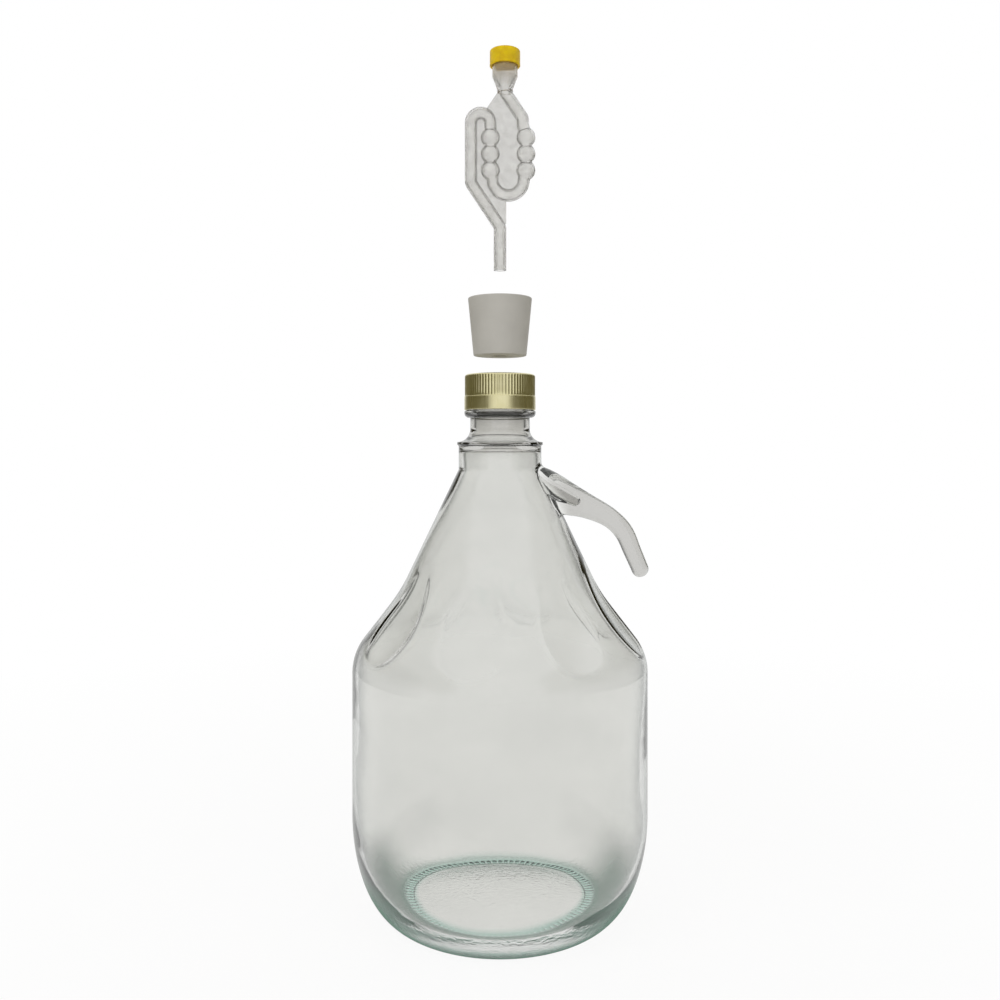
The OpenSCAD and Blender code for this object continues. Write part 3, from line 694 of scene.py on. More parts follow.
class JarShape:
    """The jar's outlines, worked out from its sizes."""

    def __init__(self, scene):
        self.jar, self.neck, self.thumb, self.grip = scene.jar, scene.neck, scene.thumbs, scene.handle
        jar, neck, thumb = self.jar, self.neck, self.thumb
        self.shoulder_c = np.array([jar.body_r - jar.shoulder_r, jar.shoulder_z])
        self.flank_out = np.array([math.cos(jar.flank_angle), math.sin(jar.flank_angle)])
        self.flank_dir = np.array([-math.sin(jar.flank_angle), math.cos(jar.flank_angle)])
        self.cone_dir = np.array([-math.sin(jar.cone_angle), math.cos(jar.cone_angle)])
        self.root = self.cone_head(0)
        self.collar_z = self.root[1] + neck.collar_wall_h
        self.collar_r = neck.collar_wall_r + neck.collar_overhang
        self.collar_top_z = self.collar_z + neck.collar_edge_h
        self.flare = self.collar_r - neck.neck_r
        self.neck_z = self.collar_top_z + self.flare
        self.bead_z = self.neck_z + neck.neck_h
        self.finish_z = self.bead_z + neck.bead_h
        self.lip_z = JAR_HIGH.z
        foot_dir = np.array([math.cos(thumb.foot_angle), math.sin(thumb.foot_angle)])
        foot = self.shoulder_c + jar.shoulder_r * foot_dir
        head = self.blend(0)[-1] + thumb.head_len * self.cone_dir
        half = np.linalg.norm(head - foot) / 2
        along = (head - foot) / (2 * half)
        out = np.array([along[1], -along[0]])
        self.thumb_r = (half ** 2 + thumb.depth ** 2) / (2 * thumb.depth)
        self.thumb_c = (foot + head) / 2 + (self.thumb_r - thumb.depth) * out
        self.thumb_zone = foot[1] - 0.008, head[1] + 0.006

    def blend(self, inset):
        jar = self.jar
        head = self.shoulder_c + (jar.shoulder_r - inset) * self.flank_out + jar.flank_len * self.flank_dir
        lean = 180 + math.degrees(jar.flank_angle), 180 + math.degrees(jar.cone_angle)
        return arc(head + (jar.blend_r + inset) * self.flank_out, jar.blend_r + inset, *lean, 24)

    def cone_head(self, inset):
        end = self.blend(inset)[-1]
        inward = end[0] - self.neck.collar_wall_r + inset
        return end + inward / math.sin(self.jar.cone_angle) * self.cone_dir

    def shoulder(self, inset, step):
        curve = arc(self.shoulder_c, self.jar.shoulder_r - inset, 0, math.degrees(self.jar.flank_angle), 24)
        bend = self.blend(inset)
        outline = chain(curve, bend, line(bend[-1], self.cone_head(inset), step))
        return resampled(outline, step)

    def heel(self, r0, z0, r1, steps):
        turn = np.radians(np.linspace(0, 90, steps + 1))
        rise = (self.jar.heel_h - z0) * (1 - np.cos(turn))
        return np.column_stack([r0 + (r1 - r0) * np.sin(turn), z0 + rise])

    def dome(self, edge_r, low_z, steps):
        r = np.linspace(0, edge_r, steps + 1)
        return np.column_stack([r, low_z + self.jar.push_h * (1 - (r / edge_r) ** 2)])

    def outer_bands(self):
        """The outside from the middle of the base to the lip, with each band's segments."""
        jar, neck = self.jar, self.neck
        ring_in = jar.foot_r - jar.ring_w
        dome = self.dome(ring_in - FOOT_ROUND, FOOT_ROUND / 2, 14)[:-1]
        heel = self.heel(jar.foot_r, 0, jar.body_r, 60)
        ring = chain(self.dome(ring_in - FOOT_ROUND, FOOT_ROUND / 2, 1)[1:],
                     arc((ring_in + FOOT_ROUND, FOOT_ROUND), FOOT_ROUND, 200, 270, 3),
                     line((ring_in + FOOT_ROUND, 0), (jar.foot_r - FOOT_ROUND, 0), 0.0004), heel[:3])
        wall = line((jar.body_r, jar.heel_h), (jar.body_r, jar.shoulder_z), 0.004)[1:-1]
        flank = self.shoulder(0, 0.0006)
        split = int(np.searchsorted(flank[:, 1], self.thumb_zone[1]))
        return [(dome, WALL_SEGMENTS), (ring, FOOT_SEGMENTS), (heel[3:], WALL_SEGMENTS),
                (wall, WALL_SEGMENTS), (flank[:split], PRINT_SEGMENTS), (flank[split:], WALL_SEGMENTS),
                (self.collar(neck), COLLAR_SEGMENTS), (self.finish(neck), WALL_SEGMENTS),
                (np.array([[0, self.lip_z]]), WALL_SEGMENTS)]

    def collar(self, neck):
        """The outside from the cone's top to the top of the bead."""
        soft, corner, bead_round = SOFT_EDGE, neck.lip_edge, neck.bead_round
        return chain(line(self.root, (neck.collar_wall_r, self.collar_z - soft), 0.0015)[1:],
                     arc((neck.collar_wall_r + soft, self.collar_z - soft / 2), soft, 180, 110, 3),
                     arc((self.collar_r - soft, self.collar_z + neck.collar_overhang), soft, -50, 0, 3),
                     arc((self.collar_r - soft, self.collar_top_z - soft), soft, 0, 80, 4),
                     arc((self.collar_r, self.neck_z), self.flare, -97, -180, 14),
                     line((neck.neck_r, self.neck_z), (neck.neck_r, self.bead_z - soft), 0.002),
                     arc((neck.neck_r + soft, self.bead_z - soft), soft, 180, 90, 4),
                     arc((neck.bead_r - bead_round, self.bead_z + bead_round), bead_round, -88, 0, 8),
                     arc((neck.bead_r - corner, self.finish_z - corner), corner, 0, 90, 5),
                     arc((neck.finish_r + soft, self.finish_z + soft), soft, 270, 180, 3))

    def finish(self, neck):
        """The upright glass that carries the thread, and the lip's outer edge."""
        low, high = self.finish_z + SOFT_EDGE, self.lip_z - neck.lip_edge
        return chain(line((neck.finish_r, low), (neck.finish_r, high), 0.0004)[1:],
                     arc((neck.finish_r - neck.lip_edge, high), neck.lip_edge, 0, 90, 5)[1:])

    def cavity_bands(self):
        """The inside from the middle of the base to just above the lip, with each band's segments."""
        jar, neck = self.jar, self.neck
        floor_r, in_r = jar.foot_r - jar.base_t, jar.body_r - jar.wall
        heel = self.heel(floor_r, jar.base_t, in_r, 44)
        wall = line((in_r, jar.heel_h), (in_r, jar.shoulder_z), 0.004)[1:-1]
        flank = self.shoulder(jar.wall, 0.0008)
        split = int(np.searchsorted(flank[:, 1], self.thumb_zone[1]))
        bore_low, bore_high = self.neck_z + 0.006, self.lip_z - neck.mouth_depth
        throat = rounded([flank[-1], (neck.collar_wall_r - jar.wall, self.collar_z - jar.wall),
                          (neck.bore_r + self.flare / 3, self.collar_top_z),
                          (neck.bore_r, self.neck_z), (neck.bore_r, bore_low)], 0.003)
        edge, past = neck.lip_edge, self.lip_z + 0.001
        mouth = chain(resampled(throat, 0.001)[1:],
                      line((neck.bore_r, bore_low), (neck.bore_r, bore_high), 0.002),
                      line((neck.bore_r, bore_high), (neck.mouth_r, self.lip_z - edge), 0.002),
                      arc((neck.mouth_r + edge, self.lip_z - edge), edge, 180, 91, 5),
                      [[neck.mouth_r + edge, past]])
        return [(self.dome(floor_r, jar.base_t, 16), WALL_SEGMENTS), (heel[1:], WALL_SEGMENTS),
                (wall, WALL_SEGMENTS), (flank[:split], INNER_PRINT_SEGMENTS),
                (flank[split:], WALL_SEGMENTS), (mouth, COLLAR_SEGMENTS),
                (np.array([[0, past]]), COLLAR_SEGMENTS)]

    def press(self, points, inset, edge):
        """Pushes the thumbprints into points of the shoulder."""
        low, high = self.thumb_zone
        if not low < points[0, 2] < high:
            return points
        step = 2 * np.pi / self.thumb.count
        turn = np.arctan2(points[:, 1], points[:, 0])
        home = np.round(turn / step) * step
        r = np.hypot(points[:, 0], points[:, 1])
        x, y = r * np.cos(turn - home), r * np.sin(turn - home)
        dx, dz = x - self.thumb_c[0], points[:, 2] - self.thumb_c[1]
        far = np.hypot(dx, dz)
        cross = self.thumb.cross_r
        face = self.thumb_r - cross + np.sqrt((cross + inset) ** 2 - y ** 2)
        push = softplus(face - far, edge)
        x, z = x + push * dx / far, points[:, 2] + push * dz / far
        return np.column_stack([x * np.cos(home) - y * np.sin(home), x * np.sin(home) + y * np.cos(home), z])

    def stamp(self, points):
        """The bars round the foot, the thumbprints and the thread on the outside."""
        jar, neck = self.jar, self.neck
        r, z = np.hypot(points[0, 0], points[0, 1]), points[0, 2]
        ring_mid = jar.foot_r - jar.ring_w / 2
        if z < FOOT_ROUND and abs(r - ring_mid) < jar.ring_w / 2 + 0.002:
            turn = np.arctan2(points[:, 1], points[:, 0])
            bar = np.clip(0.5 + 1.6 * np.cos(jar.grip_count * turn), 0, 1)
            near = np.clip(1.4 - abs(r - ring_mid) / (jar.ring_w / 2), 0, 1)
            points[:, 2] += jar.grip_h * (1 - bar) * near
        if z > self.finish_z + 0.002:
            turn = np.mod(np.arctan2(points[:, 1], points[:, 0]), 2 * np.pi) / (2 * np.pi)
            lift = np.zeros(len(points))
            for lap in range(math.ceil(neck.turns) + 1):
                at = turn + lap
                fade = np.clip(np.minimum(at, neck.turns - at) * 8, 0, 1)
                off = np.abs(z - self.finish_z - neck.thread_start - neck.pitch * at)
                hump = np.clip((neck.thread_w / 2 - off) / (neck.thread_w / 4), 0, 1)
                lift = np.maximum(lift, neck.thread_depth * fade * hump * hump * (3 - 2 * hump))
            points[:, :2] *= ((r + lift) / r)[:, None]
        return self.press(points, 0, self.thumb.edge)

    def ripple(self, points):
        """The thumbprints and the slow unevenness of the blown inside."""
        jar = self.jar
        points = self.press(points, jar.wall, self.thumb.edge_in)
        r, z = np.hypot(points[:, 0], points[:, 1]), points[:, 2]
        calm = np.clip((z - jar.base_t) / 0.02, 0, 1) * np.clip((self.collar_z - z) / 0.03, 0, 1)
        turn = np.arctan2(points[:, 1], points[:, 0])
        wave = (np.sin(3 * turn + 1.3 + z / 0.023) + np.sin(5 * turn - 2.1 - z / 0.017)
                + 0.7 * np.sin(2 * turn + z / 0.011))
        points[:, :2] *= ((r + jar.ripple * calm * wave) / r)[:, None]
        return points

    def handle_rings(self):
        """Rings round the handle's centre line, from inside the cone to the tip."""
        grip, root = self.grip, self.root
        tip = np.array([grip.reach, root[1] - grip.drop])
        spots = np.vstack([np.array(HANDLE_ROOT) + (*root, 0, 0),
                           np.array(HANDLE_LEG) + (*tip, grip.half_w, grip.half_t)])
        a, b, c, d = spots[:-3], spots[1:-2], spots[2:-1], spots[3:]
        steps = np.linspace(0, 1, 9)[:-1, None, None]
        path = 0.5 * (2 * b + (c - a) * steps + (2 * a - 5 * b + 4 * c - d) * steps ** 2
                      + (3 * b - a - 3 * c + d) * steps ** 3)
        path = np.vstack([path.transpose(1, 0, 2).reshape(-1, 4), spots[-2:-1]])
        ways = np.gradient(path[:, :2], axis=0)
        ways /= np.linalg.norm(ways, axis=1)[:, None]
        rings = [self.handle_ring(spot, way, 1) for spot, way in zip(path, ways)]
        for lean in np.radians([12, 24, 36, 48, 60, 72, 82]):
            spot = path[-1].copy()
            spot[:2] += ways[-1] * spot[2] * math.sin(lean) * 0.9
            rings.append(self.handle_ring(spot, ways[-1], math.cos(lean)))
        return rings

    @staticmethod
    def handle_ring(spot, way, size):
        """A rounded box across the handle's way at a place along it."""
        turn = -2 * np.pi * np.arange(HANDLE_SEGMENTS) / HANDLE_SEGMENTS
        across, through = (np.sign(side) * np.abs(side) ** 0.85 for side in (np.cos(turn), np.sin(turn)))
        across, through = across * spot[2] * size, through * spot[3] * size
        return np.column_stack([spot[0] - way[1] * across, through, spot[1] + way[0] * across])

    def pocket_rings(self):
        """Rings of the hollow in the handle's root."""
        grip = self.grip
        start = self.root + POCKET_START
        end = self.root + POCKET_END + (grip.pocket_reach, -grip.pocket_drop)
        way = (end - start) / np.linalg.norm(end - start)
        tip_r, shrink = grip.pocket_tip_r, grip.pocket_tip_r - grip.pocket_r
        balls = [(start + (end - start) * t, grip.pocket_r + shrink * t ** 0.8)
                 for t in np.linspace(0, 1, 15)]
        for lean in np.radians([15, 30, 45, 60, 75, 86]):
            balls.append((end + way * tip_r * math.sin(lean), tip_r * math.cos(lean)))
        turn = -2 * np.pi * np.arange(POCKET_SEGMENTS) / POCKET_SEGMENTS
        return [np.column_stack([centre[0] - way[1] * r * np.cos(turn), r * np.sin(turn),
                                 centre[1] + way[0] * r * np.cos(turn)]) for centre, r in balls]


class FERMENT_OT_jar(bpy.types.Operator):
    """Builds the glass jar with its thumbprints, thread and hook handle"""

    bl_idname = "ferment.jar"
    bl_label = "Glass Jar"

    def execute(self, context):
        shape = JarShape(context.scene)
        glass = jar_glass(context.scene.finishes, shape.jar, shape.root)
        jar = turned("glass_jar", shape.outer_bands(), glass, shape.stamp)
        rings = np.array(shape.handle_rings())
        handle = swept("handle_tool", rings, glass)
        pocket = swept("pocket_tool", shape.pocket_rings(), glass)
        cavity = turned("cavity_tool", shape.cavity_bands(), glass, shape.ripple)
        combine(jar, handle, "UNION")
        self.soften_root(jar, shape, rings)
        combine(cavity, pocket, "UNION")
        combine(jar, cavity, "DIFFERENCE")
        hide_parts("jar")
        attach(jar, "jar")
        return {"FINISHED"}

    @staticmethod
    def soften_root(jar, shape, rings):
        """Rounds the corner between the handle and the cone."""
        root, cone = shape.root, shape.cone_dir
        handle_points = rings.reshape(-1, 3)[None, ::2, :]

        def corner(points):
            r = np.hypot(points[:, 0], points[:, 1])
            outside = np.abs((r - root[0]) * cone[1] - (points[:, 2] - root[1]) * cone[0])
            outside = np.where(points[:, 2] > root[1], np.abs(r - root[0]), outside)
            near = np.full(len(points), 1.0)
            low, high = (0.015, -0.03, 0.2), (np.inf, 0.03, 0.3)
            close = ((points > low) & (points < high)).all(axis=1)
            gaps = np.linalg.norm(points[close][:, None, :] - handle_points, axis=2).min(axis=1)
            near[close] = np.hypot(outside[close], np.maximum(gaps - 0.001, 0))
            return near

        fillet(jar, corner, shape.grip.fillet)


# ---------------------------------------------------------------- the screw cap


class FERMENT_OT_screw_cap(bpy.types.Operator):
    """Builds the fluted gold shell and finishes the insert and the liner"""

    bl_idname = "ferment.screw_cap"
    bl_label = "Screw Cap"

    def execute(self, context):
        cap = context.scene.cap
        top, low = SHELL_HIGH.z, SHELL_LOW.z
        band_r = SHELL_HIGH.x
        flute_r = band_r - cap.band_step
        bore_r = flute_r - cap.flute_depth - cap.wall
        flute_z = low + cap.band_h
        curl, soft = 0.00035, 0.00015
        roof_z, round_r = top - cap.wall, cap.round_r
        inner = chain([[0, roof_z]], line((bore_r - 0.0004, roof_z), (bore_r, roof_z - 0.0004), 0.0002),
                      line((bore_r, roof_z - 0.0005), (bore_r, low + soft), 0.003))
        band = chain(arc((bore_r + curl / 2, low + curl), curl, 200, 270, 3),
                     arc((band_r - curl, low + curl), curl, 270, 360, 5),
                     line((band_r, low + curl), (band_r, flute_z - 0.0012), 0.0015),
                     [[band_r - 0.00012, flute_z - 0.0008], [band_r, flute_z - 0.0004]],
                     arc((band_r - soft, flute_z - soft), soft, 0, 80, 3))
        flutes = chain([[flute_r, flute_z + soft]],
                       line((flute_r, flute_z + 0.0004), (flute_r, top - round_r), 0.0012))
        crown = chain(arc((flute_r - round_r, top - round_r), round_r, 8, 90, 9),
                      line((flute_r - round_r, top), (0.002, top), 0.004), [[0, top]])
        lowest, highest = flute_z + 0.0003, top - round_r * 0.35

        def press_flutes(points):
            z, r = points[0, 2], np.hypot(points[0, 0], points[0, 1])
            if not lowest < z < highest or r < bore_r + cap.wall * 0.6:
                return points
            turn = np.arctan2(points[:, 1], points[:, 0])
            groove = np.clip(0.5 - 0.9 * np.cos(cap.flute_count * turn), 0, 1)
            ease = min(1, (z - lowest) / 0.0008, (highest - z) / 0.0008)
            points[:, :2] *= ((r - cap.flute_depth * 1.6 * groove * ease) / r)[:, None]
            return points

        fine = cap.flute_count * 8
        shell = turned("gold_shell", [(inner, 96), (band, 192), (flutes, fine), (crown, fine)],
                       gold_lacquer(context.scene.finishes), press_flutes)
        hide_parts("cap_shell")
        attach(shell, "screw_cap")
        dress_node("cap_insert", pale_plastic("natural moulded plastic", (0.80, 0.78, 0.70), 300.0, 0.2))
        dress_node("cap_liner", pale_plastic("pressed foam", (0.86, 0.85, 0.82), 1400.0, 0.6))
        return {"FINISHED"}


def dress_node(node, finish):
    """Gives a CAD node a finish."""
    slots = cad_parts[node].data.materials
    slots.clear()
    slots.append(finish)


# ---------------------------------------------------------------- the stopper


class FERMENT_OT_stopper(bpy.types.Operator):
    """Builds the tapered rubber stopper with its hole"""

    bl_idname = "ferment.stopper"
    bl_label = "Rubber Stopper"

    def execute(self, context):
        size = context.scene.stopper
        low, top, e = STOPPER_LOW.z, STOPPER_HIGH.z, size.edge
        hole = size.hole_r
        loop = chain(line((hole + 0.0003, low), (size.low_r - e, low), 0.002),
                     arc((size.low_r - e, low + e), e, -85, 0, 6),
                     line((size.low_r, low + e), (size.top_r, top - e), 0.0025),
                     arc((size.top_r - e, top - e), e, 0, 90, 6),
                     line((size.top_r - e, top), (hole + size.chamfer, top), 0.002),
                     line((hole + size.chamfer, top), (hole, top - size.chamfer), 0.0003),
                     line((hole, top - size.chamfer), (hole, low + 0.0003), 0.003))
        stopper = turned("rubber_stopper", [(loop, 128)], white_rubber(context.scene.finishes), loop=True)
        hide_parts("stopper")
        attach(stopper, "stopper")
        return {"FINISHED"}


# ---------------------------------------------------------------- the airlock


class AirlockShape:
    """The airlock's path, web and cup in its own plane, with heights above its tip."""

    def __init__(self, size):
        self.size = size
        self.tip_z = AIRLOCK_LOW.z
        self.rim_z = AIRLOCK_HIGH.z - AIRLOCK_LOW.z
        self.column_top = size.bulb_z + (size.bulb_count - 1) * size.bulb_step + size.bulb_r
        self.bend_z = self.column_top + size.bend_rise
        self.top_x = -(size.side_x + size.near_x) / 2
        self.top_r = (size.side_x - size.near_x) / 2
        self.low_x = (size.far_x - size.near_x) / 2
        self.low_r = (size.far_x + size.near_x) / 2 - size.bend_inset
        self.low_z = size.bulb_z - size.bulb_r
        self.far_elbow = (size.far_x - size.far_lean, self.bend_z + size.far_rise)
        self.cup_foot = size.cup_elbow_z + size.cup_neck_h

    def path(self, low_end, high_end):
        """The water's way from the stem's tip to the cup."""
        size = self.size
        top = arc((self.top_x, self.bend_z), self.top_r, 180, 0, 20)
        low = arc((self.low_x, self.low_z), self.low_r, 180, 360, 28)
        first = rounded([(0, low_end), (0, size.elbow_z), (-size.side_x, size.slant_z), top[0]], 0.004)
        near = [(-size.near_x, size.bulb_z)]
        far = [(size.far_x, size.bulb_z), (size.far_x, self.column_top - size.bulb_r)]
        last = rounded([far[-1], (self.far_elbow[0], self.far_elbow[1] - 0.004), self.far_elbow,
                        (size.cup_x, size.cup_elbow_z), (size.cup_x, high_end)], 0.003)
        return resampled(chain(first, top, near, low, far, last), 0.0006)

    def tube(self, name, low_end, high_end, tube_r, bulb_r, finish):
        """The tube along the water's way, with its bulbs, as a solid."""
        size = self.size
        path = self.path(low_end, high_end)
        ways = np.gradient(path, axis=0)
        ways /= np.linalg.norm(ways, axis=1)[:, None]
        turn = 2 * np.pi * np.arange(TUBE_SEGMENTS) / TUBE_SEGMENTS
        bulbs = [size.bulb_z + i * size.bulb_step for i in range(size.bulb_count)]
        rings = []
        for (x, z), way in zip(path, ways):
            r = tube_r
            in_column = x > 0.0095 or -size.near_x - 0.0003 < x < -0.004
            for off in (abs(z - bulb) for bulb in bulbs):
                if in_column and off < bulb_r and z >= self.low_z - 0.002:
                    r = max(r, math.sqrt(bulb_r ** 2 - off ** 2))
            rings.append(np.column_stack([x + way[1] * r * np.cos(turn), r * np.sin(turn),
                                          z - way[0] * r * np.cos(turn)]))
        return swept(name, rings, finish)

    def cup(self, name, outer, finish):
        """The cup as a solid, or the hollow in it."""
        size = self.size
        if outer:
            r, foot = size.cup_r, size.cup_neck_r
            low, past, bend = size.cup_elbow_z - 0.0005, 0, 0.0008
        else:
            r, foot = size.cup_r - size.cup_wall, size.bore_r
            low, past, bend = size.cup_elbow_z, 0.001, 0.0004
        wall = rounded([(0.0001, low), (foot, low), (foot, self.cup_foot + past),
                        (r, self.cup_foot + size.flare_h + past), (r, self.rim_z + past)], bend)
        outline = chain([[0, low]], wall, [[0, self.rim_z + past]])
        made = turned(name, [(outline, CUP_SEGMENTS)], finish)
        made.data.transform(Matrix.Translation((size.cup_x, 0, 0)))
        return made

    def web(self, name, finish):
        """The flat web between the tubes."""
        size, middle = self.size, self.top_x
        roof_z = self.bend_z + self.top_r
        outline = [(-size.side_x, size.slant_z), (0, size.elbow_z), (size.tube_r, size.elbow_z + 0.002),
                   (size.tube_r, self.low_z - self.low_r), (size.far_x, self.low_z + 0.002),
                   (size.far_x, self.column_top - 0.002), self.far_elbow, (size.cup_x, size.cup_elbow_z),
                   (size.cup_x - size.cup_neck_r + 0.0006, size.cup_elbow_z),
                   (middle + 0.004, roof_z + 0.003), (middle, roof_z), (-size.side_x, self.bend_z)]
        x, z = np.array(outline)[::-1].T
        sides = (-size.web_t / 2, size.web_t / 2)
        return swept(name, [np.column_stack([x, np.full(len(x), y), z]) for y in sides], finish)


class FERMENT_OT_airlock(bpy.types.Operator):
    """Builds the airlock's two welded halves"""

    bl_idname = "ferment.airlock"
    bl_label = "Airlock"

    def execute(self, context):
        size = context.scene.airlock
        shape = AirlockShape(size)
        plastic = airlock_plastic(context.scene.finishes, size.turn)
        seam = weld_seam()
        for name, side in (("airlock_front", -1), ("airlock_back", 1)):
            half = self.half(shape, plastic, seam, name, side)
            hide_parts(name)
            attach(half, "airlock")
        return {"FINISHED"}

    @staticmethod
    def half(shape, plastic, seam, name, side):
        """One half of the airlock, cut along its flat side, with a seam that doesn't show."""
        size = shape.size
        made = shape.tube(f"clear_{name}", 0, shape.cup_foot + 0.001, size.tube_r, size.bulb_r, plastic)
        combine(made, shape.cup("cup_tool", True, plastic), "UNION")
        combine(made, shape.web("web_tool", plastic), "UNION")
        combine(made, shape.cup("cup_tool", False, plastic), "DIFFERENCE")
        bore = shape.tube("bore_tool", -0.001, shape.cup_foot + 0.0015, size.bore_r,
                          size.bulb_r - size.bulb_wall, plastic)
        combine(made, bore, "DIFFERENCE")
        reach = shape.rim_z
        corners = ((-reach, 2 * reach), (reach, 2 * reach), (reach, -reach), (-reach, -reach))
        block = [np.array([(x, y, z) for x, z in corners]) for y in sorted((0, side * reach))]
        combine(made, swept("block_tool", block, plastic), "INTERSECT")
        mesh = made.data
        mesh.materials.clear()
        mesh.materials.append(plastic)
        mesh.materials.append(seam)
        for face in mesh.polygons:
            flat = abs(face.center.y) < 1e-6 and abs(face.normal.y) > 0.99
            face.material_index = 1 if flat else 0
        mesh.transform(Matrix.Translation((0, 0, shape.tip_z)) @ Matrix.Rotation(size.turn, 4, "Z"))
        mesh.set_sharp_from_angle(angle=math.radians(40))
        return made


# ---------------------------------------------------------------- the dust cap


class FERMENT_OT_dust_cap(bpy.types.Operator):
    """Builds the yellow dust cap"""

    bl_idname = "ferment.dust_cap"
    bl_label = "Dust Cap"

    def execute(self, context):
        size, lock = context.scene.dust_cap, context.scene.airlock
        top, low = DUST_HIGH.z, DUST_LOW.z
        middle = (DUST_LOW + DUST_HIGH) / 2
        bore_r = lock.cup_r + size.gap
        r = bore_r + size.wall
        in_z, soft, flare = top - size.wall, 0.00025, 0.0001
        plug_r = lock.cup_r - lock.cup_wall - size.gap
        plug_in, plug_z, foot_r = plug_r - size.wall, in_z - size.plug_h + soft, r + flare
        outline = chain([[0, in_z]], line((0.001, in_z), (plug_in - soft, in_z), 0.002),
                        line((plug_in, in_z - soft), (plug_in, plug_z), 0.001),
                        arc((plug_in + soft, plug_z), soft, 180, 270, 3),
                        arc((plug_r - soft, plug_z), soft, 270, 360, 3),
                        line((plug_r, plug_z), (plug_r, in_z), 0.001),
                        line((plug_r + soft, in_z), (bore_r - soft, in_z), 0.001),
                        line((bore_r, in_z - soft), (bore_r, low + soft), 0.002),
                        arc((bore_r + soft, low + soft), soft, 180, 270, 3),
                        arc((foot_r - soft, low + soft), soft, 270, 360, 3),
                        line((foot_r, low + soft), (r, low + 0.002), 0.001),
                        line((r, low + 0.002), (r, top - size.edge), 0.001),
                        arc((r - size.edge, top - size.edge), size.edge, 0, 90, 8),
                        line((r - size.edge, top), (0.001, top), 0.002), [[0, top]])
        made = turned("yellow_dust_cap", [(outline, 128)], yellow_plastic(context.scene.finishes))
        made.data.transform(Matrix.Translation((middle.x, middle.y, 0)))
        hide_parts("dust_cap")
        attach(made, "dust_cap")
        return {"FINISHED"}


# ---------------------------------------------------------------- the stage


def seen_directly(nodes):
    """1 for what the camera sees directly, in a reflection or through glass."""
    path = nodes.add("ShaderNodeLightPath").outputs
    shown = nodes.math("MAXIMUM", path["Is Camera Ray"], path["Is Glossy Ray"])
    return nodes.math("MAXIMUM", shown, path["Is Transmission Ray"])


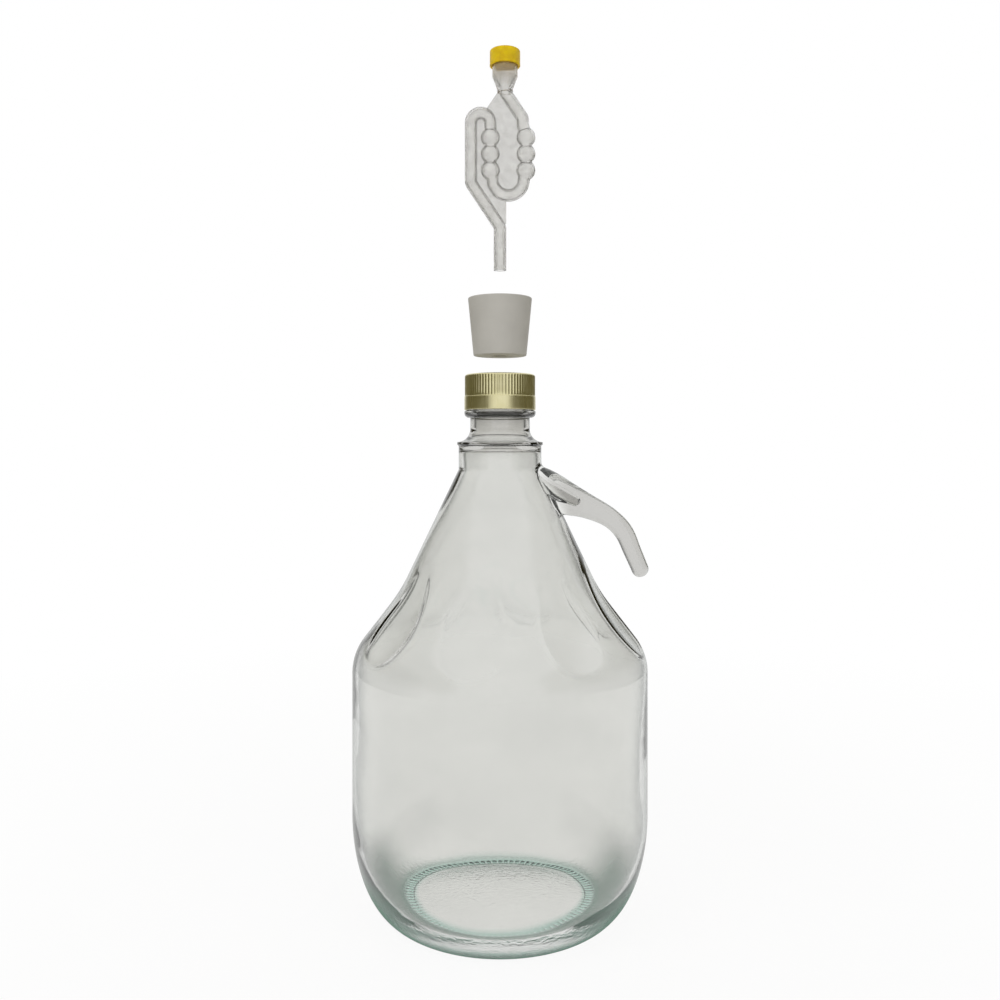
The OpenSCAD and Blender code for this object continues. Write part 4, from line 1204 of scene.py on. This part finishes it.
class FERMENT_OT_stage(bpy.types.Operator):
    """Builds the pale floor, the soft light, the dark cards and the camera"""

    bl_idname = "ferment.stage"
    bl_label = "Stage"

    def execute(self, context):
        scene, stage = context.scene, context.scene.stage
        self.floor()
        self.world(scene, stage)
        self.lamp("key_lamp", (-0.75, -1.1, 1.1), 0.9, stage.key)
        self.lamp("fill_lamp", (1.1, -0.7, 0.8), 0.7, stage.key * 0.45)
        for hand, side in (("left", -1), ("right", 1)):
            self.card(f"edge_card_{hand}", stage.azimuth, side * 0.75, (-0.6, -0.25, 0.3, 1.3),
                      (-0.3, 0.75), (0.03, 0.035, 0.033), ("transmission",))
            self.card(f"flag_{hand}", stage.azimuth, side * 0.4, (-0.8, -0.48, 0.35, 0.8),
                      (0.12, 0.70), (0.12, 0.107, 0.05), ("glossy", "diffuse"))
        self.camera(scene, stage)
        scene.view_settings.view_transform = "Standard"
        return {"FINISHED"}

    @staticmethod
    def floor():
        def shade(nodes):
            grey = nodes.ramp(nodes.noise(40.0, 3.0), [(0.3, (0.90,) * 3), (0.7, (0.93,) * 3)])
            matt = nodes.add("ShaderNodeBsdfDiffuse", Color=grey).outputs[0]
            white = nodes.add("ShaderNodeEmission", Color=(1, 1, 1, 1), Strength=1.0).outputs[0]
            far = nodes.spread(nodes.norm(nodes.spot()), 0.92, 1.0, 0.25, 0.9)
            return nodes.blend(nodes.times(seen_directly(nodes), far), matt, white)

        reach, sides = 6.0, 64
        turns = np.linspace(0, 2 * np.pi, sides + 1)[:-1]
        ring = [(reach * math.cos(turn), reach * math.sin(turn), 0) for turn in turns]
        piece("pale_floor", ring, [tuple(range(sides))], material("pale floor", shade))

    @staticmethod
    def world(scene, stage):
        world = bpy.data.worlds.new("soft studio")
        world.use_nodes = True
        scene.world = world
        nodes = Nodes(world.node_tree)
        even, white = (nodes.add("ShaderNodeBackground", Color=colour, Strength=strength).outputs[0]
                       for colour, strength in (((1, 0.99, 0.97, 1), stage.ambient), ((1, 1, 1, 1), 1.0)))
        nodes.add("ShaderNodeOutputWorld", Surface=nodes.blend(seen_directly(nodes), even, white))

    @staticmethod
    def lamp(name, place, size, power):
        data = bpy.data.lights.new(name, "AREA")
        data.energy, data.size = power, size
        made = bpy.data.objects.new(name, data)
        made.location = place
        made.rotation_euler = (Vector((0, 0, 0.3)) - made.location).to_track_quat("-Z", "Y").to_euler()
        made.visible_transmission = made.visible_glossy = False
        bpy.context.scene.collection.objects.link(made)

    @staticmethod
    def card(name, turn, x, reach, heights, colour, shown_to):
        """A dark card beside the object, turned like the camera, which only some rays see. It darkens
        along reach from the first value to the second and fades from the third to the last."""
        def shade(nodes):
            place = nodes.split(nodes.spot("Generated"))
            full = [(y - reach[0]) / (reach[-1] - reach[0]) for y in reach[1:-1]]
            across = nodes.times(nodes.rise(place["Y"], 0.0, full[0]),
                                 nodes.rise(place["Y"], 1.0, full[1]))
            up = nodes.times(nodes.rise(place["Z"], 0.0, 0.3), nodes.rise(place["Z"], 1.0, 0.7))
            tone = nodes.mix(nodes.times(across, up), (1, 1, 1, 1), rgba(colour))
            return nodes.add("ShaderNodeEmission", Color=tone).outputs[0]

        corners = [(x, y, z) for y, z in zip(np.repeat(reach[::3], 2), (*heights, *heights[::-1]))]
        made = piece(name, corners, [(0, 1, 2, 3)], material("dark card", shade))
        made.rotation_euler = (0, 0, turn)
        for ray in ("camera", "diffuse", "transmission", "glossy", "shadow", "volume_scatter"):
            setattr(made, f"visible_{ray}", ray in shown_to)

    @staticmethod
    def camera(scene, stage):
        data = bpy.data.cameras.new("photo camera")
        data.lens, data.sensor_width, data.shift_y = stage.lens, 36.0, stage.shift
        made = bpy.data.objects.new("photo camera", data)
        made.location = (stage.distance * math.sin(stage.azimuth),
                         -stage.distance * math.cos(stage.azimuth), stage.eye_z)
        made.rotation_euler = (math.pi / 2, 0, stage.azimuth)
        scene.collection.objects.link(made)
        scene.camera = made


# ---------------------------------------------------------------- the add-on


class FERMENT_PT_panel(bpy.types.Panel):
    """Lists the pieces and their sizes"""

    bl_label = "Fermentation Jar"
    bl_idname = "FERMENT_PT_panel"
    bl_space_type = "VIEW_3D"
    bl_region_type = "UI"
    bl_category = "Ferment Jar"

    def draw(self, context):
        for operator in OPERATORS:
            self.layout.operator(operator.bl_idname)
        for name in SETTINGS:
            box = self.layout.box()
            box.label(text=name.replace("_", " ").title())
            group = getattr(context.scene, name)
            for key in group.__annotations__:
                box.prop(group, key)


SETTINGS = {"jar": JarSizes, "thumbs": ThumbSizes, "neck": NeckSizes, "handle": HandleSizes, "cap": CapSizes,
            "stopper": StopperSizes, "airlock": AirlockSizes, "dust_cap": DustCapSizes, "finishes": Finishes,
            "stage": StageSettings}
OPERATORS = (FERMENT_OT_jar, FERMENT_OT_screw_cap, FERMENT_OT_stopper, FERMENT_OT_airlock,
             FERMENT_OT_dust_cap, FERMENT_OT_stage)


def register():
    for group in (*SETTINGS.values(), *OPERATORS, FERMENT_PT_panel):
        bpy.utils.register_class(group)
    for name, group in SETTINGS.items():
        setattr(bpy.types.Scene, name, PointerProperty(type=group))


def unregister():
    for name in SETTINGS:
        delattr(bpy.types.Scene, name)
    for group in reversed((*SETTINGS.values(), *OPERATORS, FERMENT_PT_panel)):
        bpy.utils.unregister_class(group)


def main():
    register()
    for operator in OPERATORS:
        group, name = operator.bl_idname.split(".")
        getattr(getattr(bpy.ops, group), name)()


if __name__ == "__main__":
    main()
